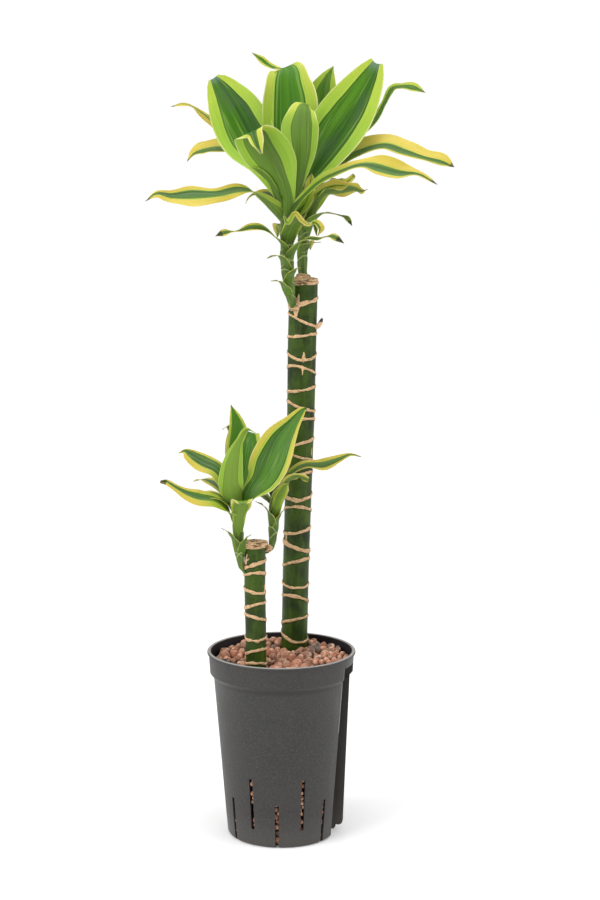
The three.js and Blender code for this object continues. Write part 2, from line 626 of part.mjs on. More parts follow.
// Midrib frame at u: position, the direction across the blade, the upper side's normal
function leafFrame(stations, u) {
  const step = 0.004;
  const here = smooth(stations, u);
  const ahead = smooth(stations, Math.min(u + step, 1));
  const behind = smooth(stations, Math.max(u - step, 0));
  const along = new THREE.Vector3(...ahead).sub(new THREE.Vector3(...behind)).normalize();
  const [first, last] = [stations[0], stations.at(-1)];
  const level = new THREE.Vector3(first[1] - last[1], last[0] - first[0], 0).normalize();
  const flat = level.addScaledVector(along, -level.dot(along)).normalize();
  const upper = new THREE.Vector3().crossVectors(along, flat);
  const roll = radians(here[4]);
  return {
    centre: new THREE.Vector3(here[0], here[1], here[2]),
    across: flat.clone().multiplyScalar(Math.cos(roll)).addScaledVector(upper, Math.sin(roll)),
    normal: upper.multiplyScalar(Math.cos(roll)).addScaledVector(flat, -Math.sin(roll)),
    half: Math.max(here[3], tipHalf),
  };
}

// Point on the blade: u runs along it and v across from -1 to 1. The cross-section is an arc
// that curls round the stem at the foot and flattens out along the blade.
function leafPoint(leaf, u, v, side) {
  const { centre, across, normal, half } = leafFrame(leaf.at, u);
  const curl = footCurl * Math.max(1 - u / footPart, 0) ** 1.5;
  const cup = leaf.cup ?? defaultCup;
  const open = cup + ((leaf.cupEnd ?? cup * endCup) - cup) * u + curl;
  const bend = Math.abs(open) < leastBend ? leastBend : open;
  const waves = Math.sin(6 * Math.PI * u + Math.sign(v)) * v * v * Math.min(1, 4 * u * (1 - u));
  const rise = ((1 - Math.cos(v * bend)) / bend) * half + (leaf.wave ?? 0) * waves;
  const lift = (side * bladeThickness) / 2;
  return centre.clone()
    .addScaledVector(across, (Math.sin(v * bend) / bend) * half - lift * Math.sin(v * bend))
    .addScaledVector(normal, rise + lift * Math.cos(v * bend));
}

// Closed blade: an upper and a lower skin split into the same triangles, joined along the edge
function makeLeaf(leaf) {
  const widest = Math.max(...leaf.at.map((station) => station[3]));
  const columns = widest > narrowLeaf ? 4 : 2;
  const rows = Math.min(Math.max(Math.round(pathLength(leaf.at) / rowLength) + 1, 4), 10);
  const positions = [];
  for (const side of [1, -1]) {
    for (let i = 0; i <= rows; i++) {
      for (let j = 0; j <= columns; j++) {
        positions.push(...leafPoint(leaf, i / rows, (2 * j) / columns - 1, side).toArray());
      }
    }
  }
  const stride = columns + 1;
  const under = (rows + 1) * stride;
  const triangles = [];
  const quad = (a, b, c, d) => triangles.push(a, b, c, a, c, d);
  for (let i = 0; i < rows; i++) {
    const [a, b] = [i * stride, (i + 1) * stride];
    for (let j = 0; j < columns; j++) {
      triangles.push(a + j, b + j, b + j + 1, a + j, b + j + 1, a + j + 1);
      triangles.push(under + a + j, under + b + j + 1, under + b + j,
        under + a + j, under + a + j + 1, under + b + j + 1);
    }
    quad(a, under + a, under + b, b);
    quad(a + columns, b + columns, under + b + columns, under + a + columns);
  }
  const end = rows * stride;
  for (let j = 0; j < columns; j++) {
    quad(j, j + 1, under + j + 1, under + j);
    quad(end + j, under + end + j, under + end + j + 1, end + j + 1);
  }
  return solid(indexed(positions, triangles));
}

function makeShoot(stem, leaves) {
  return fuse([makeStem(stem), ...Object.values(leaves).map(makeLeaf)]);
}

// ---- The plant ----------------------------------------------------------------------------

function material(color, roughness) {
  return new THREE.MeshStandardMaterial({ color, roughness, metalness: 0 });
}

const leafGreen = 0x7fa83a;
const caneGreen = 0x35542a;
const plant = new THREE.Group();
plant.add(
  meshOf('pot', makePot(), material(0x50504e, 0.55)),
  meshOf('clay_bed', makeBed(), material(0xb98069, 0.95)),
  meshOf('cane_tall', makeCane(tallCane), material(caneGreen, 0.6)),
  meshOf('cane_short', makeCane(shortCane), material(0x4c7030, 0.6)),
  meshOf('shoot_tall_left', makeShoot(tallLeftStem, tallLeftLeaves), material(leafGreen, 0.45)),
  meshOf('shoot_tall_right', makeShoot(tallRightStem, tallRightLeaves), material(leafGreen, 0.45)),
  meshOf('shoot_short_left', makeShoot(shortLeftStem, shortLeftLeaves), material(leafGreen, 0.45)),
  meshOf('shoot_short_right', makeShoot(shortRightStem, shortRightLeaves), material(leafGreen, 0.45)),
);

export default plant;
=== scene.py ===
import math

import bmesh
import bpy
import numpy as np
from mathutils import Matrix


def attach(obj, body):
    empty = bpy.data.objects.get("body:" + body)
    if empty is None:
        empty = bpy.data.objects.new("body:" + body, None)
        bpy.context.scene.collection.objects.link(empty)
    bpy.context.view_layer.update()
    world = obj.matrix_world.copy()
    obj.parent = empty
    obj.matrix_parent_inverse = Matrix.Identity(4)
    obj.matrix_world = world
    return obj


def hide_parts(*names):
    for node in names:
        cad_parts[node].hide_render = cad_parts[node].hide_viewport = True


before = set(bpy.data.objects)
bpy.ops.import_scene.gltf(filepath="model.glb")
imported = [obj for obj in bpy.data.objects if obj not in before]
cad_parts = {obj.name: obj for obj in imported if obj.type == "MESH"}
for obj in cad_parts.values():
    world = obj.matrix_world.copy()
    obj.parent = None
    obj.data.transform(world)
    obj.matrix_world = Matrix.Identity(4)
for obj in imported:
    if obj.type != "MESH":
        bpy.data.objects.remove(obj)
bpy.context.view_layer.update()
mm = 0.001

# ---- grids and curves


def alongCurve(rows, u):  # Catmull-Rom through all rows at u from 0 to 1, mirrored past its ends
    rows = np.asarray(rows, float)
    padded = np.vstack([2 * rows[0] - rows[1], rows, 2 * rows[-1] - rows[-2]])
    place = np.clip(u, 0, 1) * (len(rows) - 1)
    k = np.minimum(place.astype(int), len(rows) - 2)
    f = (place - k)[:, None]
    a, b, c, d = (padded[k + i] for i in range(4))
    bend = (2 * a - 5 * b + 4 * c - d) * f**2 + (3 * b - a - 3 * c + d) * f**3
    return 0.5 * (2 * b + (c - a) * f + bend)


def unit(vectors):
    return vectors / np.maximum(np.linalg.norm(vectors, axis=-1, keepdims=True), 1e-12)


def rise(x, low, high):  # smooth step from 0 below low to 1 above high
    f = np.clip((x - low) / (high - low), 0, 1)
    return f * f * (3 - 2 * f)


def gridQuads(rows, columns, closed=False):  # faces of a grid of points, rows by columns
    i, j = np.meshgrid(np.arange(rows - 1), np.arange(columns - (not closed)), indexing="ij")
    k = (j + 1) % columns
    corners = [i * columns + j, i * columns + k, (i + 1) * columns + k, (i + 1) * columns + j]
    return np.stack(corners, -1).reshape(-1, 4)


class Parts:  # collects grids, their faces and their values at each point, for one mesh
    def __init__(self):
        self.points, self.quads, self.values, self.count = [], [], {}, 0

    def add(self, points, quads, **values):
        points = points.reshape(-1, 3)
        self.points.append(points)
        self.quads.append(quads + self.count)
        self.count += len(points)
        for name, value in values.items():
            self.values.setdefault(name, []).append(np.asarray(value, float).reshape(len(points), -1))


def piece(name, parts, material, slot, *nodes):
    # One object at the origin from the collected grids, riding on the plant and standing for nodes
    points, quads = np.concatenate(parts.points), np.concatenate(parts.quads)
    mesh = bpy.data.meshes.new(name)
    mesh.from_pydata(points.tolist(), [], quads.tolist())
    for label, chunks in parts.values.items():
        data = np.concatenate(chunks).astype(np.float32)
        kind, field = ("FLOAT_VECTOR", "vector") if data.shape[1] == 3 else ("FLOAT", "value")
        mesh.attributes.new(label, kind, "POINT").data.foreach_set(field, data.ravel())
    mesh.polygons.foreach_set("use_smooth", np.ones(len(mesh.polygons), bool))
    mesh.materials.append(material)
    made = bpy.data.objects.new(name, mesh)
    bpy.context.scene.collection.objects.link(made)
    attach(made, "root")
    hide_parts(*nodes)
    print(f"{name}: {len(points)} points, {len(quads)} faces")
    return made


def weld(made, sharp):  # closes seams and poles, and keeps edges past sharp degrees crisp
    grid = bmesh.new()
    grid.from_mesh(made.data)
    bmesh.ops.remove_doubles(grid, verts=grid.verts, dist=0.01 * mm)
    grid.to_mesh(made.data)
    grid.free()
    made.data.set_sharp_from_angle(angle=math.radians(sharp))


# ---- shader helpers


class Value:  # a node's output. Arithmetic on it makes Math nodes in its own tree.
    def __init__(self, tree, socket):
        self.tree, self.socket = tree, socket

    def math(self, operation, *others, clamp=False):
        return put(self.tree, "ShaderNodeMath", self, *others, operation=operation, use_clamp=clamp)

    def __add__(self, other):
        return self.math("ADD", other)

    def __sub__(self, other):
        return self.math("SUBTRACT", other)

    def __mul__(self, other):
        return self.math("MULTIPLY", other)


def feed(target, value):  # a link from another node's output, or a plain value
    if isinstance(value, Value):
        value.tree.links.new(value.socket, target)
    else:
        target.default_value = value


def put(tree, kind, *inputs, output=0, **settings):  # a new node's output, with its first inputs fed
    made = tree.nodes.new(kind)
    for name, value in settings.items():
        setattr(made, name, value)
    for target, value in zip(made.inputs, inputs):
        feed(target, value)
    return Value(tree, made.outputs[output])


def vectorOf(x, y, z):
    return put(x.tree, "ShaderNodeCombineXYZ", x, y, z)


def split(vector):
    x = put(vector.tree, "ShaderNodeSeparateXYZ", vector)
    return [Value(vector.tree, socket) for socket in x.socket.node.outputs]


def noise(vector, scale, detail=2.0, roughness=0.5):
    return put(vector.tree, "ShaderNodeTexNoise", vector, 0, scale, detail, roughness)


def band(value, low, high, start=0.0, end=1.0):  # smooth step of a value
    mode = {"interpolation_type": "SMOOTHSTEP"}
    return put(value.tree, "ShaderNodeMapRange", value, low, high, start, end, **mode)


def tone(red, green, blue):  # linear colour of a screen colour given from 0 to 255
    c = np.array([red, green, blue]) / 255
    linear = np.where(c < 0.04045, c / 12.92, ((c + 0.055) / 1.055) ** 2.4)
    return (*linear.tolist(), 1.0)


def blend(factor, first, second, mode="MIX"):  # from the first colour to the second
    tree = next(value.tree for value in (factor, first, second) if isinstance(value, Value))
    mixed = put(tree, "ShaderNodeMix", factor, output=2, data_type="RGBA", blend_type=mode)
    for target, colour in zip(mixed.socket.node.inputs[6:8], (first, second)):
        feed(target, tone(*colour) if isinstance(colour, tuple) else colour)
    return mixed


def paint(base, *layers):  # colours over a base, each where its mask says
    for mask, colour in layers:
        base = blend(mask, base, colour)
    return base


def attribute(tree, name, output="Vector"):
    return put(tree, "ShaderNodeAttribute", attribute_name=name, output=output)


def objectPlace(tree):
    return put(tree, "ShaderNodeTexCoord", output="Object")


def stretched(vector, x, y, z):
    return put(vector.tree, "ShaderNodeMapping", vector, (0, 0, 0), (0, 0, 0), (x, y, z))


def bumpFrom(height, distance, strength):
    made = put(height.tree, "ShaderNodeBump", strength, distance)
    feed(made.socket.node.inputs["Height"], height)
    return made


def newMaterial(name, **sockets):  # a Principled material and its tree
    made = bpy.data.materials.new(name)
    made.use_nodes = True
    shader = made.node_tree.nodes["Principled BSDF"]
    feedAll(shader, sockets)
    return made, made.node_tree, shader


def feedAll(target, sockets):  # inputs by name, with _ for each space
    for label, value in sockets.items():
        feed(target.inputs[label.replace("_", " ")], value)


# ---- pot: one wall with a channel for a water gauge, drainage slots and a collar

potSizes = {  # millimetres
    "wall": 2.1,
    "baseRadius": 55,
    "taper": 0.0825,
    "cornerRadius": 4,
    "collarFoot": 163,
    "collarEdge": 168,
    "collarRadius": 72.3,
    "collarTop": 187.2,
    "collarSpread": 1.2,
    "lipRadius": 75,
    "height": 190,
    "edge": 0.45,  # rounding of edges past edgeAngle degrees
    "edgeAngle": 40,
}
channel = {  # bearing in degrees from the front towards +X, the rest in millimetres
    "bearing": 77.5,
    "near": (-12, -16.5),
    "far": 13.5,
    "floor": 45,
    "top": 179,
    "ledge": 1.6,
    "collarNear": -22,
    "collarFloor": 60,
}
fin = {
    "thickness": 1.96,
    "foot": 4.8,
    "footReach": 60,
    "corner": ((-2.6, 0), (0, 1.6), (1, 5)),  # steps of its foot's corner, out and up from the reach
    "headReach": 67.6,
    "upright": 4,  # of its edge at the head
    "above": 6,  # of the collar's foot
    "root": 1.6,
}
slots = {"places": 14, "first": -4.2, "width": 3.7, "low": 45.5, "high": (18, 71), "inset": 46, "skipped": 3}
plainRows = (slots["high"][0], slots["low"], slots["high"][1], 115)


def bodyRadius(z):
    return potSizes["baseRadius"] + potSizes["taper"] * z


def besideChannel(out, aside):  # x and y of a place that far out on the channel's bearing and aside
    b = math.radians(channel["bearing"])
    return out * math.sin(b) + aside * math.cos(b), -out * math.cos(b) + aside * math.sin(b)


def wallRows(grow, floorGap, upper):
    # Rows from the middle of the underside up to the lip, for the outer face or, grown inwards by
    # the wall, the inner: radius, height, then the channel's outer near side, inner near side, far
    # side, floor and the floor of its collar notch. Clear of the channel, its floor is far outside.
    p, c, clear = potSizes, channel, 999
    head = p["collarFoot"] + 1

    def row(r, z, kind="body"):
        near = np.interp(z, (0, head), c["near"]) - grow
        outerNear = c["collarNear"] - grow if kind == "notch" else near
        inward = clear if kind == "round" else c["floor"] - grow
        notch = clear if kind == "round" else c["collarFloor"] - grow
        return r, z, outerNear, near, c["far"] + grow, inward, notch

    corner = p["cornerRadius"]
    bend, middle = corner - grow, bodyRadius(corner) - corner
    rows = [row(r, grow) for r in (0, c["floor"] - floorGap, slots["inset"])]
    for a in np.radians((0, 25, 50, 70, 90)):
        rows.append(row(middle + bend * math.sin(a), corner - bend * math.cos(a)))
    rows += [row(bodyRadius(z) - grow, z) for z in plainRows]
    return np.array(rows + [row(*values) for values in upper])


def potRows():
    p, wall = potSizes, potSizes["wall"]
    foot, head, top, lip = p["collarFoot"], p["collarFoot"] + 1, p["collarTop"], p["lipRadius"]
    shoulder, ledge = bodyRadius(head), channel["top"] + channel["ledge"]
    outer = [
        (bodyRadius(foot), foot),
        (shoulder + 0.6, head),
        (shoulder + 0.6, head, "notch"),
        (p["collarRadius"], p["collarEdge"], "notch"),
        (p["collarRadius"] + 0.7, channel["top"], "notch"),
        (p["collarRadius"] + 0.7, channel["top"], "round"),
        (p["collarRadius"] + p["collarSpread"], top, "round"),
        (lip, top + 0.5, "round"),
        (lip, p["height"] - 0.9, "round"),
        (lip - 0.9, p["height"], "round"),
    ]
    inside = p["collarRadius"] - wall
    spread = inside + p["collarSpread"]
    inner = [
        (bodyRadius(foot - 3) - wall, foot - 3),
        (shoulder - wall, head - wall),
        (shoulder - wall, head - wall, "notch"),
        (inside, p["collarEdge"] + 1, "notch"),
        (inside + 0.7, ledge, "notch"),
        (inside + 0.7, ledge, "round"),
        (spread, top, "round"),
        (spread, top + 0.5, "round"),
        (spread, p["height"] - 0.6, "round"),
        (spread + 0.5, p["height"], "round"),
    ]
    return wallRows(0, 1.5, outer), wallRows(wall, 4, inner)


def slotBearings():
    places = [k for k in range(slots["places"]) if k != slots["skipped"]]
    return [(slots["first"] + 360 / slots["places"] * k, k % 2 == 0) for k in places]


def arcBearings():
    # Bearings past the channel, clockwise from it: every 3 degrees, and both sides of each slot
    half = math.degrees(slots["width"] / 2 / bodyRadius(30))
    middles = np.array([b for b, _ in slotBearings()])
    places = (middles - channel["bearing"]) % 360
    even = np.arange(17, 338.5, 3)
    even = even[np.abs(even[:, None] - places).min(1) > half + 0.9]
    return np.sort(np.concatenate([even, places - half, places + half])) + channel["bearing"], half


def outlineGrid(rows, arc):
    # Each row's outline as a closed line: in along the channel's near side, with a step at the
    # collar's notch, across its floor, out along its far side, and round the pot by bearings
    r, z, nearOuter, near, far, inward, notch = (rows[:, k : k + 1] for k in range(7))

    def edge(aside, limit=np.inf):  # where the circle of the row is, that far aside, or the limit
        return np.minimum(limit, np.sqrt(np.maximum(r**2 - np.clip(aside, -r, r) ** 2, 0)))

    def between(first, last, count, inner=False):
        f = np.linspace(0, 1, count)[None, 1:-1] if inner else np.linspace(0, 1, count)[None]
        return first + (last - first) * f

    stepAside = between(nearOuter, near, 3, True)
    floorAside = between(near, far, 7, True)
    lines = [
        (between(edge(nearOuter), edge(nearOuter, notch), 4), nearOuter),
        (edge(stepAside, notch), stepAside),
        (between(edge(near, notch), edge(near, inward), 4), near),
        (edge(floorAside, inward), floorAside),
        (between(edge(far, inward), edge(far), 4), far),
    ]
    out = np.concatenate([line for line, _ in lines], 1)
    aside = np.concatenate([aside + 0 * line for line, aside in lines], 1)
    x, y = besideChannel(out, np.clip(aside, -r, r))
    a = np.radians(arc)[None, :]
    x, y = np.concatenate([x, r * np.sin(a)], 1), np.concatenate([y, -r * np.cos(a)], 1)
    return np.stack([x, y, z + 0 * x], -1) * mm


def shell(outer, inner, keep):
    # Closed wall between two grids of the same layout. keep says which faces stay: round each hole
    # and along the last row, outer and inner points are joined.
    rows, columns = outer.shape[:2]
    count = rows * columns
    faces = gridQuads(rows, columns, closed=True)
    kept = faces[keep.ravel()]
    quads = [kept, kept[:, ::-1] + count]
    here = np.arange(count).reshape(rows, columns)
    beside = np.roll(here, -1, 1)
    left = np.roll(keep, 1, 1)
    below = np.vstack([keep[:1], keep])
    above = np.vstack([keep, np.zeros((1, columns), bool)])
    for ends, first, second in (  # wall faces along edges that run from first to second
        (keep & ~left, here[:-1], here[1:]),
        (left & ~keep, here[1:], here[:-1]),
        (below & ~above, here, beside),
        (above & ~below, beside, here),
    ):
        a, b = first[ends], second[ends]
        quads.append(np.stack([a, b, b + count, a + count], -1))
    return np.concatenate([outer.reshape(-1, 3), inner.reshape(-1, 3)]), np.concatenate(quads)


def finPlate(parts):
    # Upright plate beyond the channel: a fan over each face and a strip round its edge
    foot, low, high = fin["foot"], fin["footReach"], fin["headReach"]
    head, far = potSizes["collarFoot"] + fin["above"], channel["far"]
    start, end = (math.sqrt(bodyRadius(z) ** 2 - far**2) - fin["root"] for z in (foot, head))
    line = np.array(
        [(start, foot), *((low + out, foot + up) for out, up in fin["corner"])]
        + [(high, head - fin["upright"]), (high, head), (end, head)]
    )
    middle = np.tile(line.mean(0), (len(line), 1))
    sides = (far + fin["thickness"],) * 2 + (far + 0.02,) * 2
    grid = [
        np.stack([*besideChannel(ring[:, 0], aside), ring[:, 1]], -1)
        for ring, aside in zip((middle, line, line, middle), sides)
    ]
    quads = gridQuads(4, len(line), closed=True)
    # the fin's side value of -1 gives it the painted light of the shaded channel
    parts.add(np.array(grid) * mm, quads, side=np.tile((-1.0, 0, 0), (4 * len(line), 1)))


def potPlastic():
    # Satin dark grey, a little dusty at the foot, with a painted highlight along the lip and the channel's
    # corner, painted shade inside and in the line under the collar, and painted light on the shaded channel
    # and fin
    made, tree, shader = newMaterial("potPlastic", Specular_IOR_Level=0.4)
    place = objectPlace(tree)
    height = split(place)[2]
    cloud, grain = noise(place, 28, 4), noise(place, 600, 3, 0.6)
    # side: x marks the channel's painted highlight and painted light, y the pot's inside for painted shade
    corner, inside, _ = split(attribute(tree, "side"))
    # painted shadow: a dark band under the collar's overhang
    under = band(height, 0.159, 0.1625) * band(height, 0.1665, 0.1645)
    # painted highlight: a light line round the top of the lip
    lip = band(height, 0.1893, 0.1899) * 0.8
    color = paint(
        blend(band(cloud, 0.3, 0.7), (40, 39, 39), (49, 47, 45)),
        (band(grain, 0.48, 0.68), (58, 56, 53)),
        (band(grain, 0.42, 0.3), (34, 33, 33)),
        # painted light: the channel's walls and the fin lie in shade and get a lighter grey
        (band(corner, -0.3, -0.8) * 0.8, (60, 57, 53)),
        # painted shade: the inside wall darker and bluer than the same plastic outside
        (inside * 0.85, (18, 20, 29)),
        (band(height, 0.04, 0.0) * 0.3, (96, 92, 86)),
        # painted shadow under the collar
        (under * 0.7, (34, 28, 22)),
        # painted highlight along the lip and along the channel's near corner
        (lip.math("MAXIMUM", band(corner, 0.84, 0.97) * 0.8), (158, 155, 152)),
    )
    rough = band(cloud, 0.2, 0.8, 0.42, 0.56)
    feedAll(shader, {"Base Color": color, "Roughness": rough, "Normal": bumpFrom(grain, 0.0001, 0.6)})
    return made


def buildPot():
    arc, half = arcBearings()
    outerRows, innerRows = potRows()
    outer, inner = outlineGrid(outerRows, arc), outlineGrid(innerRows, arc)
    z = outerRows[:, 1]
    keep = np.ones((len(z) - 1, outer.shape[1]), bool)
    first = outer.shape[1] - len(arc)
    for bearing, low in slotBearings():
        offset = (arc - bearing + 180) % 360 - 180
        columns = first + np.flatnonzero((abs(offset[:-1] + half) < 0.01) & (abs(offset[1:] - half) < 0.01))
        start, end = (2, slots["low"]) if low else (int(np.argmax(z >= slots["high"][0])), slots["high"][1])
        rows = [i for i in range(start, len(z) - 1) if z[i + 1] <= end]
        keep[np.ix_(rows, columns)] = False
    parts = Parts()
    points, quads = shell(outer, inner, keep)
    # side marks painted light: x is 1 on the channel's near corner for a painted highlight and below 0 on the
    # shaded channel walls and fin for painted light; y is 1 inside for painted shade
    side = np.zeros((2,) + outer.shape)  # x: 1 along the channel's near corner, below 0 in it; y: 1 inside
    side[0, :, 2:first, 0] = -0.7
    side[0, :, 0, 0] = 1
    side[1, ..., 1] = 1
    parts.add(points, quads, side=side.reshape(-1, 3))
    finPlate(parts)
    made = piece("culturePot", parts, potPlastic(), "pot", "pot")
    weld(made, 32)
    edges = made.modifiers.new("edges", "BEVEL")
    edges.width = potSizes["edge"] * mm
    edges.segments = 2
    edges.limit_method = "ANGLE"
    edges.angle_limit = math.radians(potSizes["edgeAngle"])
    edges.harden_normals = True


# ---- expanded clay: loose pebbles on a dark core, and pebbles behind the slots

clay = {  # millimetres
    "seed": 11,
    "foot": 2.6,
    "core": 169,
    "coreFoot": ((0, 0), (48, 0), (52, 3)),  # radius, and height over the foot
    "coreSides": (30, 120),
    "coreInset": 9.5,
    "coreEdge": 2,
    "coreGap": 4,  # to the channel
    "layers": (  # level, least and greatest size, and number
        (170.5, 3.4, 5.2, 150), (175.5, 3.4, 6.0, 150), (179.0, 2.9, 6.8, 130)
    ),
    "rise": 5.5,  # of the top towards the back wall
    "reach": 69.5,
    "canes": ((12.6, 44.4, 13.6), (-24.9, -26, 10.4)),  # x, y and radius
    "caneGap": 0.6,
    "stretch": (0.78, 1.12),
    "lumps": (5, 0.055, 2.2),  # waves on a pebble: how many, how high, and how close
    "slotSize": (2.2, 3.6),
    "onLedge": (120, 2.8, 4.2, 182.6),  # number, sizes and level of those over the channel
}


def ballGrid(count):
    # Points of a cube's faces, each split count by count, pushed out to a sphere
    line = np.linspace(-1, 1, count + 1)
    a, b = np.meshgrid(np.tan(line * np.pi / 4), np.tan(line * np.pi / 4), indexing="ij")
    faces = [np.stack([np.full_like(a, sign), a, b * sign], -1) for sign in (1, -1)]
    points = unit(np.concatenate([np.roll(f, axis, -1).reshape(-1, 3) for axis in range(3) for f in faces]))
    quads = np.concatenate([gridQuads(count + 1, count + 1) + (count + 1) ** 2 * k for k in range(6)])
    _, first, back = np.unique(points.round(5), axis=0, return_index=True, return_inverse=True)
    return points[first], back.ravel()[quads]


def scatter(random, count, low, high, overChannel=False):
    # Pebble places by rejection: each new one keeps off the wall, the canes and those placed before
    places = []
    for _ in range(count * 14):
        if len(places) == count:
            break
        size = random.uniform(low, high)
        out = (clay["reach"] - size) * math.sqrt(random.random())
        turn = random.uniform(0, 2 * math.pi)
        x, y = out * math.cos(turn), out * math.sin(turn)
        if any(math.hypot(x - cx, y - cy) < r + size * 0.86 + clay["caneGap"] for cx, cy, r in clay["canes"]):
            continue
        if inChannel(x, y, size + potSizes["wall"]) != overChannel:
            continue
        if any(math.hypot(x - px, y - py) < 0.8 * (other + size) for px, py, other in places):
            continue
        places.append((x, y, size))
    return places


def channelPlace(x, y):  # how far out on the channel's bearing a place is, and how far aside
    b = math.radians(channel["bearing"])
    return x * math.sin(b) - y * math.cos(b), x * math.cos(b) + y * math.sin(b)


def inChannel(x, y, reach):  # whether a pebble of that reach would come through the channel's wall
    out, aside = channelPlace(x, y)
    return out > channel["floor"] - reach and channel["near"][1] - reach < aside < channel["far"] + reach


def pebbleColour():
    # A fired hue and shade for each pebble, a few of them grey, with pale blotches and dark pits
    made, tree, shader = newMaterial("firedClay", Roughness=0.9)
    hue, shade, grey = split(attribute(tree, "pebble"))
    place = objectPlace(tree)
    spots, blotch = noise(place, 420, 4, 0.65), noise(place, 140, 3)
    base = paint(
        blend(hue, (158, 101, 77), (210, 157, 128)),
        (band(grey, 0.8, 0.86), (120, 104, 94)),
        (band(grey, 0.93, 0.96), (72, 66, 64)),
        (band(blotch, 0.48, 0.7), (232, 190, 160)),
        (band(spots, 0.46, 0.3), (96, 52, 40)),
    )
    dark = shade * 0.55 + 0.55
    base = blend(1.0, base, vectorOf(dark, dark, dark), "MULTIPLY")
    feedAll(shader, {"Base Color": base, "Normal": bumpFrom(spots + blotch * 1.5, 0.0012, 0.9)})
    return made


def darkCore():
    made, tree, shader = newMaterial("clayShade", Roughness=1.0)
    feed(shader.inputs["Base Color"], blend(noise(objectPlace(tree), 160, 3), (24, 18, 16), (62, 42, 34)))
    return made


def pebbleRows(random):  # x, y, z and radius of every pebble
    rows = []
    for level, low, high, count in clay["layers"]:
        for x, y, size in scatter(random, count, low, high):
            lift = clay["rise"] * max(y, -20) / clay["reach"]
            rows.append((x, y, level + lift + random.uniform(-1.0, 1.0), size))
    count, low, high, level = clay["onLedge"]
    rows += [(x, y, level + size * 0.5, size) for x, y, size in scatter(random, count, low, high, True)]
    for bearing, low in slotBearings():
        z, end = (2, slots["low"] + 2) if low else (slots["high"][0] - 2, slots["high"][1] + 2)
        while z < end:
            size = random.uniform(*clay["slotSize"])
            out = bodyRadius(z) - potSizes["wall"] - size - random.uniform(-0.9, 0.6)
            angle = math.radians(bearing + random.uniform(-2.4, 2.4))
            rows.append((out * math.sin(angle), -out * math.cos(angle), max(z, size + clay["foot"]), size))
            z += size * random.uniform(1.2, 2.4)
    return np.array(rows)


def buildClay():
    # Each pebble is a ball with a sum of waves on it, stretched and turned at random
    random = np.random.default_rng(clay["seed"])
    ball, quads = ballGrid(3)
    rows = pebbleRows(random)
    count = len(rows)
    several, high, close = clay["lumps"]
    stretch = random.uniform(*clay["stretch"], (count, 1, 3))
    waves = random.normal(0, close, (count, 3, several))
    phases = random.uniform(0, 6.3, (count, 1, several))
    lumps = 1 + high * np.sin(ball[None] @ waves + phases).sum(-1, keepdims=True)
    turn = np.linalg.qr(random.normal(size=(count, 3, 3)))[0]
    turn *= np.sign(np.linalg.det(turn))[:, None, None]
    points = ((ball[None] * lumps * stretch) @ turn * rows[:, None, 3:] + rows[:, None, :3]) * mm
    faces = quads[None] + (np.arange(count) * len(ball))[:, None, None]
    parts = Parts()
    parts.add(points, faces.reshape(-1, 4), pebble=np.repeat(random.random((count, 1, 3)), len(ball), 1))
    piece("clayPebbles", parts, pebbleColour(), "clay", "clay_bed")

    top, inset, edge, gap = clay["core"], clay["coreInset"], clay["coreEdge"], clay["coreGap"]
    profile = np.array(
        [(r, clay["foot"] + up) for r, up in clay["coreFoot"]]
        + [(bodyRadius(z) - inset, z) for z in (*clay["coreSides"], top - edge)]
        + [(bodyRadius(top) - inset - edge, top), (0, top)]
    )
    angle = np.linspace(0, 2 * np.pi, 64, endpoint=False)[None, :]
    r, z = profile[:, :1], profile[:, 1:]
    out, aside = channelPlace(r * np.cos(angle), r * np.sin(angle))
    beside = (aside > channel["near"][1] - gap) & (aside < channel["far"] + gap)
    x, y = besideChannel(np.where(beside, np.minimum(out, channel["floor"] - gap), out), aside)
    core = Parts()
    core.add(np.stack([x, y, z + 0 * x], -1) * mm, gridQuads(len(profile), 64, closed=True))
    weld(piece("clayCore", core, darkCore(), "clay", "clay_bed"), 40)


# ---- canes: green bark with ring scars, ticks beside them, and a rough callus on the cut

tallCane = {  # millimetres: axis as x, y, z, radius; scars as left, front, right and back height, weight
    "seed": 3,
    "axis": [
        (8, 38, 70, 13), (12.8, 45, 180, 13.4), (14.5, 45, 264, 13.4), (16.9, 45, 339, 13.6),
        (19.7, 45, 426, 14.0), (20.7, 45, 490, 14.4), (22.4, 45, 557, 14.4),
    ],
    "cut": 563,
    "cap": (7, 0.9, 0.0, 0),  # height, how far it stands out, further on one side, that side's degrees
    "scars": [
        (198, 190, 190.5, 197, 1), (207.5, 213, 215, 210, 1), (236, 238, 230, 231, 1.1),
        (250, 246.5, 248.5, 252, 1), (268.5, 274, 275, 270, 1), (294, 288, 283.5, 290, 1.4),
        (302.5, 304, 308, 305, 1), (326.5, 331, 325.5, 323, 1), (342, 338, 342.5, 345, 1.3),
        (362.5, 364, 366, 363, 0.9), (384.5, 382.5, 377, 378, 0.8), (392.5, 396, 400, 395, 1),
        (418.5, 421, 419.5, 417, 1), (439, 432.5, 428, 434, 1), (448, 450, 453, 450, 1),
        (472.5, 474, 465.5, 467, 0.9), (488, 481.5, 486, 490, 1), (503, 505.5, 507, 503, 0.9),
        (528, 519.5, 514.5, 521, 0.9), (534.5, 537, 542.5, 539, 1.2),
    ],
    "ticks": [  # from degrees off the front towards +X and height, to the same, half width at the start
        (-24, 537, -18, 547, 3), (-30, 535, -28, 524, 5), (-23, 537, -66, 532, 3),
        (-23, 537, 20, 541, 2.2), (-23, 537, -34, 545, 1.6), (8, 481, 8, 489, 2.6),
        (-52, 296, -52, 304, 1.6), (4, 474, 4, 466, 1.4), (60, 384, 60, 392, 1.2),
    ],
    "lumps": [  # x, y, z and the three radii of rough bark at the shoots' feet and the cut's edge
        (20.5, 57, 562.5, 5.8, 8, 4.2), (25, 60, 562, 4.4, 6, 3.4), (17, 52, 561.5, 4, 5, 2.6),
        (13, 33.8, 534.5, 4.6, 4, 5),
    ],
}
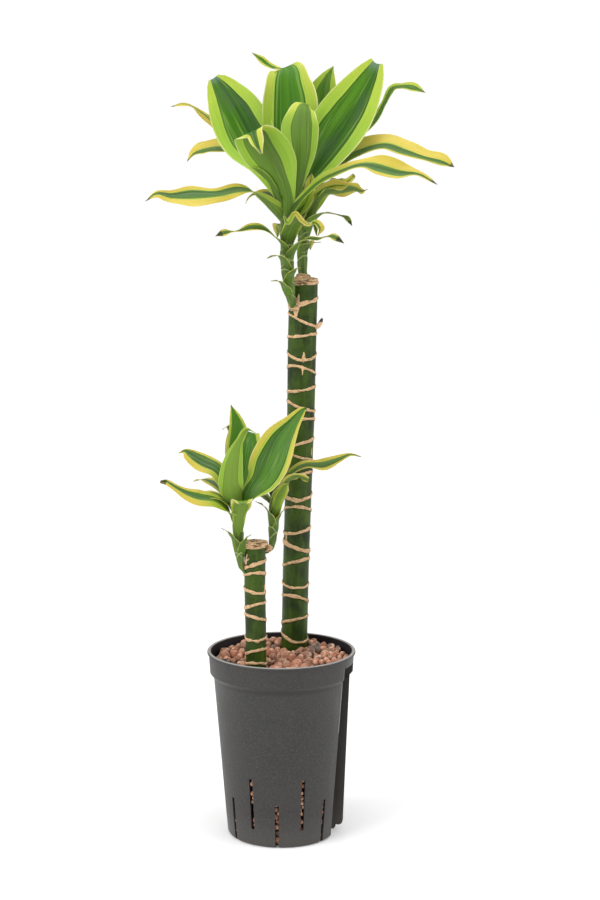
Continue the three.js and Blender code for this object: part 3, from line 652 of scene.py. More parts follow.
shortCane = {
    "seed": 5,
    "axis": [
        (-23, -24, 80, 10), (-24.9, -26, 181, 10.2), (-25.4, -26, 225, 10.4), (-26.1, -26, 261, 10.4),
        (-25.8, -26, 297, 10.6),
    ],
    "cut": 307.5,
    "cap": (7, 1.2, 1.4, 0),
    "scars": [
        (182.8, 185.4, 182.8, 184, 0.9), (193, 197.7, 198, 195, 0.9), (210.5, 208, 210.5, 212, 1),
        (233, 232, 227.3, 229, 1), (239.5, 244.4, 246, 242, 1), (260.4, 257, 255.3, 259, 1),
        (273, 276.6, 274, 271, 1), (280.6, 285, 288, 286, 1.3),
    ],
    "ticks": [
        (-58, 286, -44, 295, 2.2), (-52, 288, -30, 291, 1.6), (64, 258, 64, 265, 1.2),
    ],
    "lumps": [(-12, -23, 298.8, 3.6, 3.8, 3.8), (-38.2, -28, 283.5, 3.4, 3.6, 2.6)],
}
bark = {
    "columns": 96,
    "step": 0.75,  # between rings
    "buried": (165, 6),  # level below which clay hides the bark, and the step there
    "scarHalf": 1.7,
    "scarWaves": (7, 0.32),  # how many and how strong
    "widthWaves": (9, 0.16),
    "capWaves": (8, 0.45),
    "faceWaves": (5, 0.35),
    "relief": 1.05,
    "tickRelief": 0.8,
    "shoulder": (2.5, 1.6),  # at the cut's edge: how far down, and how far in
    "groove": (0.5, 1.1),  # round the cap's middle: depth and half width
    "face": (0.86, 0.66, 0.42, 0.2, 0.0),  # rings of the cut, as shares of its radius
    "lumpWaves": 0.07,
}


def ripple(random, angle, count, strength):  # sum of a few waves round the cane
    turns = np.arange(1, count + 1)
    phase, size = random.uniform(0, 6.3, count), random.uniform(0.3, 1, count) / turns**0.4
    return strength * (size * np.sin(angle[..., None] * turns + phase)).sum(-1)


def caneSkin(name, cane, skin, node):
    # Rings up the axis. The radius is the axis's own, plus a rounded ridge where a ring is within
    # a scar's half width of its level, which follows the scar's four heights round the cane.
    random = np.random.default_rng(cane["seed"])
    axis = np.array(cane["axis"], float)
    capHeight, flare, lean, leanSide = cane["cap"]
    cut, (buried, coarse) = cane["cut"], bark["buried"]
    z = np.concatenate([np.arange(axis[0, 2], buried, coarse), np.arange(buried, cut, bark["step"])])
    angle = np.linspace(0, 2 * np.pi, bark["columns"], endpoint=False)
    x, y, radius = (np.interp(z, axis[:, 2], axis[:, k])[:, None] for k in (0, 1, 3))
    z, a = z[:, None] + 0 * angle[None], angle[None] + 0 * z[:, None]
    nearness, swell = np.full(z.shape, -1.0), np.zeros(z.shape)
    for left, front, right, back, weight in cane["scars"]:
        level = (left + front + right + back) / 4 + (right - left) / 2 * np.cos(angle)
        level += (back - front) / 2 * np.sin(angle) + (right + left - front - back) / 4 * np.cos(2 * angle)
        level += ripple(random, angle, *bark["scarWaves"])
        half = bark["scarHalf"] * weight * (1 + ripple(random, angle, *bark["widthWaves"])).clip(0.55, 1.7)
        d = (z - level) / half
        nearness = np.maximum(nearness, 1 - np.abs(d))
        swell = np.maximum(swell, np.sqrt(np.clip(1 - d**2, 0, 1)) * (0.75 + 0.25 * weight))
        swell -= 0.12 * np.exp(-(((z - level - half * 1.8) / 1.6) ** 2))
    for side, foot, sideEnd, end, half in cane["ticks"]:
        perDegree = math.pi / 180 * radius
        x1 = ((np.degrees(a) + 90 - side + 180) % 360 - 180) * perDegree
        dx, dz = (sideEnd - side) * perDegree, end - foot
        along = np.clip((x1 * dx + (z - foot) * dz) / (dx**2 + dz**2), 0, 1)
        far = np.hypot(x1 - along * dx, z - foot - along * dz)
        tick = np.maximum(1 - far / (half * (1 - 0.75 * along)), -1)
        nearness = np.maximum(nearness, tick)
        swell = np.maximum(swell, bark["tickRelief"] * np.sqrt(np.clip(tick, 0, 1)))
    rough = ripple(random, 3 * a + z * 0.8, 6, 0.35) + ripple(random, 2 * a - z * 1.7, 5, 0.25)
    (down, inward), (depth, wide) = bark["shoulder"], bark["groove"]
    capLevel = cut - capHeight + ripple(random, angle, *bark["capWaves"])
    cap = rise(z, capLevel - 0.5, capLevel + 1.2)
    onSide = np.clip(np.cos(a - math.radians(leanSide)), 0, 1) ** 3
    capSwell = flare + lean * onSide + 0.5 * rough - inward * rise(z, cut - down, cut)
    capSwell -= depth * np.exp(-(((z - capLevel - capHeight * 0.5) / wide) ** 2))
    swell = swell * (1 - cap) * bark["relief"] + cap * capSwell
    points = np.stack([x + (radius + swell) * np.cos(a), y + (radius + swell) * np.sin(a), z], -1)
    nearness = np.maximum(nearness, 2 * cap - 1)
    # the cut's face: rings that close on the middle, rough and a little hollow
    shrink = np.array(bark["face"])[:, None]
    middle = points[-1].mean(0)
    face = middle + (points[-1] - middle)[None] * shrink[..., None]
    uneven = ripple(random, 5 * angle[None] + 9 * shrink, *bark["faceWaves"])
    face[..., 2] += 0.4 + uneven * shrink - 0.8 * (1 - shrink)
    points = np.concatenate([points[:1] * 0 + points[:1].mean(1, keepdims=True), points, face])
    scar, inCap = (np.concatenate([v[:1], v, np.ones(face.shape[:2])]) for v in (nearness, cap))
    parts = Parts()
    parts.add(points * mm, gridQuads(len(points), bark["columns"], closed=True), scar=scar, cap=inCap)
    ball, quads = ballGrid(8)
    for cx, cy, cz, *radii in cane["lumps"]:
        bumps = sum(np.sin(ball @ random.normal(0, 3.2 + n, 3) + n) for n in range(5))[:, None]
        lump = np.array([cx, cy, cz]) + ball * np.array(radii) * (1 + bark["lumpWaves"] * bumps)
        parts.add(lump * mm, quads, scar=np.ones(len(ball)), cap=np.ones(len(ball)))
    weld(piece(name, parts, skin, "cane", node), 60)


def caneBark():
    # Green with upright streaks, and tan fibres with clefts where a point lies in a scar or the cap
    made, tree, shader = newMaterial("caneBark")
    place = objectPlace(tree)
    upright = noise(stretched(place, 1, 1, 0.22), 190, 3)
    fibre = noise(stretched(place, 0.5, 0.5, 2.4), 620, 4, 0.7)
    layers = noise(stretched(place, 0.6, 0.6, 1.8), 300, 3, 0.6)
    inCap, scar = attribute(tree, "cap", "Fac"), attribute(tree, "scar", "Fac")
    cleft = band(layers, 0.47, 0.38) * inCap
    green = paint(
        blend(band(noise(place, 36, 3), 0.3, 0.72), (24, 38, 4), (52, 76, 6)),
        (band(upright, 0.45, 0.7) * 0.5, (68, 92, 14)),
        (band(noise(place, 420, 3, 0.6), 0.45, 0.3) * 0.6, (22, 28, 4)),
        # painted shade: the bark darker inside the pot, more so down towards the clay
        (band(split(place)[2], 0.186, 0.172) * 0.7, (18, 38, 6)),
        # painted shadow: a darker band of bark beside each raised scar
        (band(scar, -0.9, 0.05) * 0.45, (22, 38, 14)),
    )
    tan = paint(
        blend(band(fibre, 0.3, 0.55), (122, 86, 56), (214, 178, 134)),
        (band(fibre, 0.58, 0.72), (238, 212, 176)),
        (cleft * 0.8, (70, 50, 32)),
    )
    mask = band((fibre - 0.5) * 0.9 + scar, 0.02, 0.2)
    rough, gloss = band(mask, 0, 1, 0.45, 0.85), band(mask, 0, 1, 0.22, 0.3)
    bumps = fibre * (mask * 0.9 + 0.04) - cleft * 1.2 + upright * 0.12
    feedAll(shader, {"Base Color": blend(mask, green, tan), "Roughness": rough, "Specular IOR Level": gloss})
    feedAll(shader, {"Normal": bumpFrom(bumps, 0.0012, 0.8)})
    return made


spur = {  # path as x, y, z and radius in millimetres, and the heights where its tip darkens
    "path": [
        (34.5, 41, 513.5, 2.6), (37.6, 40, 515.2, 2.3), (39.6, 39.6, 518.6, 2.2), (41.4, 39.2, 523, 1.9)
    ],
    "rows": 14,
    "columns": 12,
    "tip": (517.8, 519.6),
}


def caneSpur():
    # Dried bud: a round tip carried along a short bent path
    rows, columns = spur["rows"], spur["columns"]
    f = np.linspace(0, 1, rows)
    rings = alongCurve(spur["path"], f)
    angle = np.linspace(0, 2 * np.pi, columns, endpoint=False)[None, :, None]
    along = unit(np.gradient(rings[:, :3], axis=0))
    side = unit(np.cross(along, (0.2, 1, 0)))
    over = np.cross(along, side)
    r = (rings[:, 3] * np.sqrt(np.clip(1 - f**5, 0, 1)))[:, None, None]
    spokes = side[:, None] * np.cos(angle) + over[:, None] * np.sin(angle)
    parts = Parts()
    parts.add((rings[:, None, :3] + r * spokes) * mm, gridQuads(rows, columns, closed=True))
    made, tree, shader = newMaterial("driedBud", Roughness=0.8)
    start, end = spur["tip"]
    dark = band(split(objectPlace(tree))[2], start * mm, end * mm)
    feed(shader.inputs["Base Color"], blend(dark, (206, 166, 128), (40, 42, 52)))
    piece("caneSpur", parts, made, "cane", "cane_tall")


# ---- leafy shoots


def blade(
    at, cup=0.35, cupEnd=None, wave=0.5, old=1.0, share=0.5, aside=0.0, end=(0, 0), rim=0, vivid=0
):
    # at: stations along the midrib as x, y, z, half width in millimetres, and roll in degrees
    # old: from 0 for a lime margin to 1 for gold, and more for a dark tip
    # rim: how much of a cream brim the outer half has, and vivid: how bright its green is
    # aside: where the green middle lies, from -1 to 1 across
    # end: how deep the tip is notched in its middle and cut off at its corners
    cup = (cup, cup * 0.7 if cupEnd is None else cupEnd)
    made = {"at": at, "cup": cup, "wave": wave, "old": old, "share": share, "aside": aside}
    return {**made, "end": end, "rim": rim, "vivid": vivid}


def sprout(start, bearing, length, slopeStart, slopeEnd, half, old=1.0, **more):
    # Stations of a leaf that leaves the stem on a bearing from +X towards the back. Its slope runs
    # from the first angle to the second, and its width follows one profile.
    steps = 60
    middle = (np.arange(steps) + 0.5) / steps
    slope = np.radians(slopeStart + (slopeEnd - slopeStart) * middle**1.2)
    out = np.concatenate([[0], np.cumsum(np.cos(slope))]) * length / steps
    up = np.concatenate([[0], np.cumsum(np.sin(slope))]) * length / steps
    b = math.radians(bearing)
    pick = slice(None, None, steps // 5)
    x, y, z = start[0] + out * math.cos(b), start[1] + out * math.sin(b), start[2] + up
    widths = half * np.array([min(5.5 / half, 0.9), 0.62, 0.95, 1, 0.72, 0])
    return blade(np.stack([x[pick], y[pick], z[pick], widths, 0 * widths], -1), old=old, **more)


tallLeftStem = [(12, 34, 532.5, 2.4), (10.8, 28.6, 537.5, 3.8), (9.3, 26, 546.5, 4.6), (7.5, 24, 559, 5.4),
    (6.6, 23, 570, 6), (5.6, 22, 586, 6.4), (6, 22, 601.5, 6.3), (5.4, 22, 615, 6.2), (5.2, 23, 629, 6),
    (6, 25, 645, 4.2), (7, 26, 655, 2.2)]
tallLeftLeaves = {
    "bigLeft": blade([(4, 22, 627, 6, -2), (-3, 27, 648, 8, -33), (-15, 36, 677, 19, -54),
        (-33, 46, 703, 28.5, -58), (-47, 54, 729, 26.5, -57), (-59, 60, 749, 17.5, -54),
        (-68, 63, 762, 8, -54)], cup=0.3, old=0.0, share=0.6, end=(0.8, 2.5)),
    "bigRight": blade([(7, 24, 631, 6, 9), (18, 24, 653, 8, 40), (32, 30, 675, 19, 60),
        (51, 40, 705, 27, 66), (68, 50, 730, 26.5, 66), (84, 58, 756, 19, 65), (96, 62, 778, 8.5, 59)],
        cup=0.3, old=0.0, share=0.6, end=(2.4, 2.5)),
    "backCentre": blade([(7, 30, 636, 6, -13), (7, 36, 665, 14, -38), (8, 44, 700, 26, -33),
        (9, 52, 735, 28, -33), (7, 58, 757, 23, -25), (6, 66, 771, 16, -22), (-3, 74, 771, 7, -14),
        (-11, 79, 774, 3.4, -30), (-20, 82, 781, 3.6, -50), (-30, 84, 788, 0, -50)], cup=0.3, wave=1.6,
        old=0.4, share=0.56, rim=0.9, vivid=1),
    "heart": blade([(11, 16, 639, 6, -146), (16, 12, 662, 9, -146), (19, 10, 689, 16, -145),
        (18, 12, 711, 19.5, -150), (20, 16, 726, 15, -150), (22, 23, 733, 10.5, -150),
        (26, 33, 734, 4, -150)], cup=0.5, old=0.0, share=0.58, aside=0.15, rim=0.6),
    "frontCurl": blade([(5, 13, 623, 6, 0), (5, 6, 647, 10, 0), (-5, -2, 672, 24, 2),
        (-17, -10, 691, 27, 10), (-23, -19, 705, 22, 18), (-25, -28, 706, 11, 16), (-22, -32, 695, 6.5, 0),
        (-18, -32, 685, 1.5, 0)], cup=0.5, cupEnd=-0.5, wave=2, old=0.0, share=0.52, aside=-0.14, rim=1),
    "longLeft": blade([(3, 22, 619, 6, 46), (-6, 14, 632, 9, 42), (-17, 9, 643, 9, 26),
        (-28, 5, 649, 8, -18), (-43, 2, 649.5, 7.5, -52), (-62, -2, 645.5, 7.8, -58),
        (-86, -6, 644, 12.3, -62), (-106, -9, 643.5, 7.2, -55), (-120, -12, 646.5, 4, -49),
        (-131, -14, 640, 0, -45)], wave=2.4, share=0.45, aside=-0.25),
    "longRight": blade([(6, 12, 623, 5, 70), (19, 6, 641, 4, 66), (38, 0, 660, 4.6, 62),
        (60, -5, 670.4, 4.4, 60), (79, -10, 676, 6, 58), (96, -14, 674.4, 11.2, 55),
        (115, -18, 669, 10, 58), (134, -22, 666, 5, 32), (151, -25, 656, 0, 55)], wave=1.4, share=0.52,
        aside=-0.4),
    "lowLeft": blade([(6, 22, 580, 6, 42), (2, 14, 596, 6, 14), (-6, 10, 605, 6, -10),
        (-18, 7, 613, 7, -29), (-30, 5, 614, 6, -27), (-40, 3, 611, 4.5, -15), (-47, 2, 610, 4, -2),
        (-56, 0, 609, 4.5, -44), (-64, -1, 606, 0, -42)], old=1.3, share=0.6),
    "upperLeft": blade([(3, 34, 636, 6, -12), (-19, 56, 662, 9, -12), (-46, 72, 691, 8, -13),
        (-67, 80, 714, 6, -24), (-81, 82, 726.5, 5, -26), (-91, 82, 734, 4, -6), (-101, 81, 736, 3, -33),
        (-112, 80, 734, 0, -59)], share=0.2, aside=-0.4),
    "midLeft": blade([(3, 30, 633, 6, -14), (-17, 50, 662, 9, -15), (-38, 60, 686, 10, -22),
        (-60, 64, 693.5, 12.5, -30), (-77, 65, 692, 12, -38), (-88, 65, 688, 7, -45),
        (-95, 64, 679, 0, -49)], share=0.6, aside=0.6),
    "frontSmall": blade([(5, 21, 590, 6, -50), (8, 13, 607, 8, -47), (15, 4, 620, 8, -56),
        (25, 0, 618, 4.5, -40), (33, -2, 616, 4.5, 0), (35, -3, 606.5, 0, 22)], wave=1, share=0.8, rim=1),
    "lowRight": blade([(7, 21, 575, 6, -56), (11, 14, 589, 6, -19), (19, 7, 600, 6, 3), (28, 2, 603, 6, 16),
        (37, 0, 603, 4.5, 22), (44, -1, 605, 3, 7), (52, -2, 605, 5, 36), (62, -3, 599, 0, 37)], old=1.3,
        share=0.7),
    "smallLeft": blade([(8, 21, 566, 5.5, 32), (5, 15, 577, 6, 4), (-1, 6, 586, 5, 1), (-8, 4, 586, 3, -2),
        (-14, 3, 584, 0, -14)], old=1.3, share=0.88),
    "smallRight": blade([(6, 21, 554, 5, -41), (8, 15, 564, 5, -16), (14, 6, 573, 3.5, 6),
        (21, 4, 575, 0, 13)], old=1.3, share=0.88),
    "footLeft": blade([(9, 24, 543, 4.5, 38), (5, 17, 553, 5, 11), (-1, 6, 561, 3.5, -9),
        (-10, 4, 562, 0, -11)], old=1.3, share=0.88),
    "underLeft": blade([(2, 13, 634, 4, 85), (-9, 3, 656.5, 3, 75), (-15, 2, 664, 3.2, 75),
        (-22, 3, 669.5, 2.6, 70), (-28, 5, 672.5, 0, 60)], old=0.0, share=0.7),
    "rearLeft": sprout((2, 34, 628), 128, 140, 72, 38, 17, old=0.0),
    "rearInner": sprout((4, 36, 634), 104, 118, 80, 50, 15, old=0.0),
    "rearLow": sprout((4, 24, 604), 96, 90, 30, -40, 8),
    "yellowInner": blade([(12, 21, 622, 4, 85), (23, 19, 636, 5.4, 85), (27, 17, 645, 6, 85),
        (28.5, 16, 653, 5.4, 85), (29.5, 16, 660, 4.4, 85), (30.5, 17, 667, 0, 85)], old=0.35, share=0.08,
        rim=1),
}
tallLeftFolds = [  # turned-over edges in front of the small front leaf
    blade([(3, -6, 625.6, 0.8, 80), (7, -7, 618.8, 2.2, 85), (14, -8, 628.5, 2.2, 90),
        (20, -8, 621.7, 2.2, 95), (27, -8, 616.9, 1.4, 90), (32, -7, 619.8, 0.6, 80)], share=0.1, rim=1),
    blade([(28, -7, 616.9, 1.2, 80), (34, -7, 619.8, 2.6, 70), (39, -8, 614, 4.2, 40),
        (36, -9, 606.3, 0.3, 20)], share=0.45, aside=-0.5),
]
tallRightStem = [(22.3, 56, 529, 2.4), (22.4, 63.5, 545, 4), (21.9, 64.9, 563, 4.6), (21.3, 64.4, 569, 4.6),
    (20.9, 63.6, 584, 5), (22, 63, 599, 5.2), (23, 63, 615, 5.6), (25, 63, 632, 5.8), (27, 64, 648, 4.4),
    (28, 65, 658, 2.2)]
tallRightLeaves = {
    "backUpright": blade([(27, 70, 645, 6, 16), (29, 84, 681, 12, 28), (36, 94, 716, 19, 29),
        (41, 100, 744, 17, 30), (47, 102, 763, 9, 31), (53, 103, 776, 0, 31)], old=0.0, vivid=-0.2),
    "thinRight": blade([(28, 66, 640, 6, 22), (49, 82, 673, 8, 13), (72, 90, 697, 7, 8),
        (95, 92, 721, 4.6, 40), (104, 91, 737, 4, 42), (112, 89, 752, 4.5, 42), (122, 87, 754.5, 4, 46),
        (134, 85, 753.5, 6, 56), (146, 83, 748, 0, 60)], old=0.3, share=0.62, aside=-0.2),
    "farRight": blade([(29, 60, 635, 6, 39), (42, 60, 660, 10, 38), (61, 58, 682, 13, 42),
        (81, 55, 692, 13.5, 39), (104, 50, 697, 13, 41), (124, 45, 691, 12, 39), (143, 40, 684, 9, 39),
        (160, 36, 680, 8, 53), (172, 33, 673, 0, 58)], wave=1, share=0.6, aside=-0.6),
    "foldedRight": blade([(25, 62, 612, 6, -53), (31, 54, 633, 9, -34), (41, 43, 647, 11, -30),
        (57, 38, 651, 12, -36), (71, 34, 652, 11, -36), (79, 31, 650, 6, -32), (86, 29, 651, 0, 2)],
        wave=2.5),
    "curvedRight": blade([(24, 62, 602, 5.5, -58), (31, 54, 620, 6, -21), (41, 46, 627, 6, -4),
        (51, 44, 627, 4, 6), (59, 43, 625, 3, -3), (66, 42, 622, 4.5, 24), (71, 41, 615, 0, 21)], old=1.3,
        share=0.8),
    "lowTwig": blade([(21, 63, 578, 4, -47), (19, 56, 592, 3, -22), (28, 52, 597, 2.2, -11),
        (40, 50, 598.5, 0, 3)], old=1.3, share=0.9),
    "yellowUpright": blade([(23, 61, 618, 5, 36), (25, 52, 631, 6, 70), (31, 47, 645, 7.5, 80),
        (35, 46, 659, 6.5, 82), (36, 46, 668, 1, 83)], share=0.12),
    "behindLeft": blade([(22, 63, 622, 6, -17), (6, 61, 639, 8, -35), (-13, 58, 646, 8, -31),
        (-27, 56, 646, 5, -18), (-33, 54, 642, 2.5, -4), (-36, 53, 637, 0, -3)]),
    "rearTall": sprout((26, 66, 646), 92, 128, 64, 44, 18, old=0.0),
    "rearRight": sprout((28, 65, 640), 60, 132, 60, 10, 15, old=0.0),
    "rearLeft": sprout((25, 65, 638), 120, 128, 56, 4, 15),
    "rearLong": sprout((26, 66, 626), 92, 128, 40, -28, 12),
    "rearLow": sprout((23, 66, 606), 98, 100, 30, -50, 8),
    "innerRight": sprout((30, 62, 648), 38, 112, 74, 48, 15, old=0.0),
    "rearShort": sprout((24, 66, 590), 84, 60, 30, -40, 6),
}
tallRightFolds = [  # turned-over edge of the folded leaf
    blade([(38, 44, 644, 3, 20), (47, 39, 655, 5, 40), (55, 36, 656, 6.5, 66), (64, 33, 657, 5.5, 66),
        (73, 30, 665, 3, 60)], wave=1.8, old=0.6, share=0.15, rim=1, end=(0, 1)),
]
shortLeftStem = [(-34.4, -29.2, 274, 1.6), (-39.4, -31.2, 281, 2.4), (-40.2, -31, 288, 3.2),
    (-41.4, -31, 304, 4.2), (-42.3, -31, 329, 5.2), (-41.2, -30, 345, 5), (-40.4, -29, 356, 3.6),
    (-40, -28, 364, 2)]
shortLeftLeaves = {
    "upright": blade([(-40, -24, 346, 6, 4), (-42, -14, 371, 14, -6), (-42, -6, 395, 14, -6),
        (-43, -2, 414, 10, -2), (-46, 1, 427, 6, 2), (-50, 4, 439, 0, 1)], old=0.5, share=0.74, vivid=0.7),
    "twistBehind": blade([(-43, -20, 347, 5, 17), (-47, -4, 375, 6, 16), (-50, 6, 395, 5, 16),
        (-52, 10, 406, 3, 56), (-53, 12, 416, 3, -5), (-59, 13, 413, 0, -64)]),
    "paleBroad": blade([(-41, -36, 342, 6, -64), (-48, -42, 361, 12, -68), (-48, -44, 379, 11.4, -67),
        (-44.5, -44, 396, 8, -70), (-40, -44, 409, 4, -65), (-33, -43, 420, 3, -47),
        (-24, -42, 417, 0, -15)], old=0.0, share=0.6, vivid=-0.9),
    "behindRight": blade([(-39, -24, 346, 6, 2), (-36, -16, 368, 12, 12), (-32, -10, 392, 14, 11),
        (-30, -5, 407, 10, 0), (-31, 0, 412, 6, 48)], old=0.4, share=0.66, vivid=0.8),
    "bigRight": blade([(-37, -34, 337, 6, 21), (-30, -37, 356, 9, 50), (-18, -38, 371, 16.6, 65),
        (-10, -37, 388.5, 20, 70), (-1, -34, 408.5, 17, 70), (11, -30, 425, 9, 70), (20, -27, 436, 4.6, 66),
        (25, -26, 439.5, 1.2, 50)], old=0.85, share=0.68, aside=-0.12, vivid=0.3),
    "upperLeft": blade([(-42, -28, 340, 6, -3), (-52, -22, 358, 9, -24), (-63, -16, 375, 10, -36),
        (-78, -10, 382, 10.6, -42), (-90, -6, 389, 8, -42), (-96, -4, 393, 3, -50),
        (-102, -3, 391.5, 0, -60)], share=0.62, aside=-0.35),
    "lowLeft": blade([(-44, -38, 328, 5.5, 70), (-52, -42, 340, 7, -8), (-64, -46, 350, 9, -39),
        (-79, -49, 353, 10, -42), (-92, -50, 358, 7.5, -44), (-104, -50, 365, 4.2, -49),
        (-111, -50, 369.5, 3.2, -46), (-117, -50, 370, 1.6, -48)], wave=0.8, old=1.5, share=0.42,
        aside=-0.3),
    "overLeft": blade([(-45, -34, 335, 6, 12), (-55, -37, 349, 7, -16), (-68, -39, 355, 7, -22),
        (-82, -40, 356, 4.5, -20), (-98, -41, 355, 0, -20)], old=1.3, share=0.7),
    "frontCup": blade([(-42, -35, 313, 5.4, 0), (-41, -40, 331, 6.6, 0), (-39, -44, 343, 9.8, 0),
        (-37.5, -49, 351, 10.8, 0), (-36.5, -54, 348.5, 4.6, 0)], wave=1.4, old=0.5, share=0.72, rim=1,
        vivid=-0.7),
    "thinLeft": blade([(-41, -30, 290, 4.5, 49), (-44, -35, 305, 4.5, 22), (-50, -41, 317, 3, 1),
        (-58, -43, 323, 0, -11)], old=1.3, share=0.88),
    "thinRight": blade([(-40, -31, 290, 4.5, -30), (-38, -37, 303, 4, -13), (-34, -44, 313, 2.5, 13),
        (-29, -45, 317, 0, 24)], old=1.3, share=0.88),
    "rear": sprout((-41, -24, 345), 98, 90, 70, 40, 12),
    "rearLow": sprout((-43, -24, 338), 122, 95, 35, -20, 10),
    "rearRight": sprout((-39, -24, 343), 84, 55, 66, 20, 9),
}
shortRightStem = [(-14.5, -23, 294, 1.8), (-9.4, -21.6, 298.5, 2.4), (-8.4, -20.4, 306, 3.4),
    (-8, -19, 322, 4.2), (-7.5, -18.5, 340, 4.6), (-6.4, -18, 352, 3.8), (-5.6, -18, 362, 2)]
shortRightLeaves = {
    "hookLeft": blade([(-8, -20, 314, 4.5, 45), (-10, -25, 330, 5.5, -2), (-16, -31, 342, 4, -19),
        (-25, -33, 348, 0, -20)], old=1.3, share=0.88),
    "hookRight": blade([(-8, -20, 308, 4, -53), (-4, -22, 324, 4.5, -4), (0, -27, 335, 3, 9),
        (6, -28, 340, 0, 10)], old=1.3, share=0.88),
    "longRight": blade([(-7, -19, 336, 5.5, 14), (0, -13, 357, 7, 4), (9, -8, 371, 8, 4),
        (24, -4, 379, 8, 18), (41, -2, 379, 8.5, 34), (56, 0, 384, 6.5, 27), (69, 1, 389, 3.5, 19),
        (80, 2, 387, 0, 34)]),
    "folded": blade([(-6, -21, 335, 5.5, -47), (-1, -25, 354, 8, -29), (6, -32, 367, 7.5, -12),
        (15, -34, 373, 7, -28), (22, -35, 371.5, 6, -45), (28, -36, 369, 4, -55)], wave=1, share=0.6,
        rim=0.6, end=(0, 1)),
    "pale": blade([(-7, -22, 330, 5, -48), (-3, -28, 347, 5.4, -48), (3, -36, 361, 5.2, -51),
        (7.5, -39, 367, 0, -46)], old=0.4, share=0.5, rim=0.6, vivid=-1),
    "rearLeft": sprout((-8, -17, 350), 124, 44, 60, 30, 8),
    "rear": sprout((-7, -16, 350), 104, 90, 56, 10, 11),
    "upright": sprout((-6, -18, 356), 60, 72, 80, 62, 10, old=0.0),
    "rearLow": sprout((-7, -16, 340), 118, 70, 25, -40, 7),
}

leafSizes = {
    "thickness": 0.6,  # millimetres, thinner at the edge and thicker at the foot
    "footCurl": 0.9,
    "footPart": 0.22,
    "tipHalf": 0.25,
    "spacing": 2.2,  # of the rows along a leaf
    "columns": 20,
    "crease": (0.05, 0.1),  # along the midrib: depth as a share of half the width, and its own width
    "ripples": (5, 9),  # along the edge: how many radians in 30 mm
}
sheathSizes = {
    "bare": 40,  # length at the stem's top without sheaths
    "below": 12,  # the leaf's foot
    "upper": (-1.5, 9, 1.6),  # edge opposite the leaf, how much higher at the leaf, and its power
    "off": (-0.3, 0.75, 0.7, 0.35),  # the stem: at its foot, more at its edge, its power, more at the leaf
    "wall": 0.35,
    "rows": 10,
    "columns": 40,
}
stemGrid = (90, 24)


def leafGrid(leaf, seed):
    # Rows of points across the blade. A point's place is the midrib's, plus an arc across that
    # curls up by the leaf's cup and clasps the stem at its foot, plus waves along the edge.
    random = np.random.default_rng(seed)
    at = np.asarray(leaf["at"], float)
    length = np.linalg.norm(np.diff(at[:, :3], axis=0), axis=1).sum()
    rows = int(max(24, length / leafSizes["spacing"]))
    u = np.linspace(0, 1, rows + 1)
    v = np.linspace(-1, 1, leafSizes["columns"] + 1)[None, :]
    here = alongCurve(at, u)
    along = unit(alongCurve(at, u + 0.004)[:, :3] - alongCurve(at, u - 0.004)[:, :3])
    reach = at[-1, :3] - at[0, :3]
    level = unit(np.array([-reach[1], reach[0], 0.0]))
    flat = unit(level - along * (along @ level)[:, None])
    upper = np.cross(along, flat)
    roll = np.radians(here[:, 4:5])
    across = flat * np.cos(roll) + upper * np.sin(roll)
    normal = upper * np.cos(roll) - flat * np.sin(roll)
    half = np.maximum(here[:, 3:4], leafSizes["tipHalf"])
    u = u[:, None]
    curl = leafSizes["footCurl"] * np.maximum(1 - u / leafSizes["footPart"], 0) ** 1.5
    cup, cupEnd = leaf["cup"]
    bend = cup + (cupEnd - cup) * u + curl
    bend = np.where(np.abs(bend) < 0.02, 0.02, bend)
    swing = np.minimum(1, 4 * u * (1 - u))
    waves = leaf["wave"] * np.sin(6 * np.pi * u + np.sign(v)) * v**2 * swing
    turns = random.uniform(*leafSizes["ripples"], 3) * length / 60
    small = sum(np.sin(2 * t * u + np.sign(v) * 2 + k * 1.7) for k, t in enumerate(turns)) / 3
    waves = waves + 0.3 * small * v**4 * swing * np.minimum(half / 8, 1.2)
    deep, wide = leafSizes["crease"]
    crease = -deep * half * np.exp(-((v / wide) ** 2)) * (1 - u)
    notch, corner = leaf["end"]
    outward = -notch * np.clip(1 - (v / 0.7) ** 2, 0, 1) - corner * (np.clip(abs(v) - 0.6, 0, 1) / 0.4) ** 2
    shift = outward * rise(u, 1 - 2.5 * (notch + corner + 0.01) / length, 1)
    middle = here[:, None, :3] + along[:, None] * shift[..., None]
    middle = middle + across[:, None] * (np.sin(v * bend) / bend * half)[..., None]
    middle = middle + normal[:, None] * ((1 - np.cos(v * bend)) / bend * half + waves + crease)[..., None]
    out = normal[:, None] * np.cos(v * bend)[..., None] - across[:, None] * np.sin(v * bend)[..., None]
    thick = leafSizes["thickness"] / 2 * (1 - 0.6 * v**4)
    thick = thick * (1 + 1.6 * np.maximum(1 - u / 0.3, 0) * (1 - v**2))
    return middle, unit(out) * thick[..., None], u + 0 * v, v + 0 * u


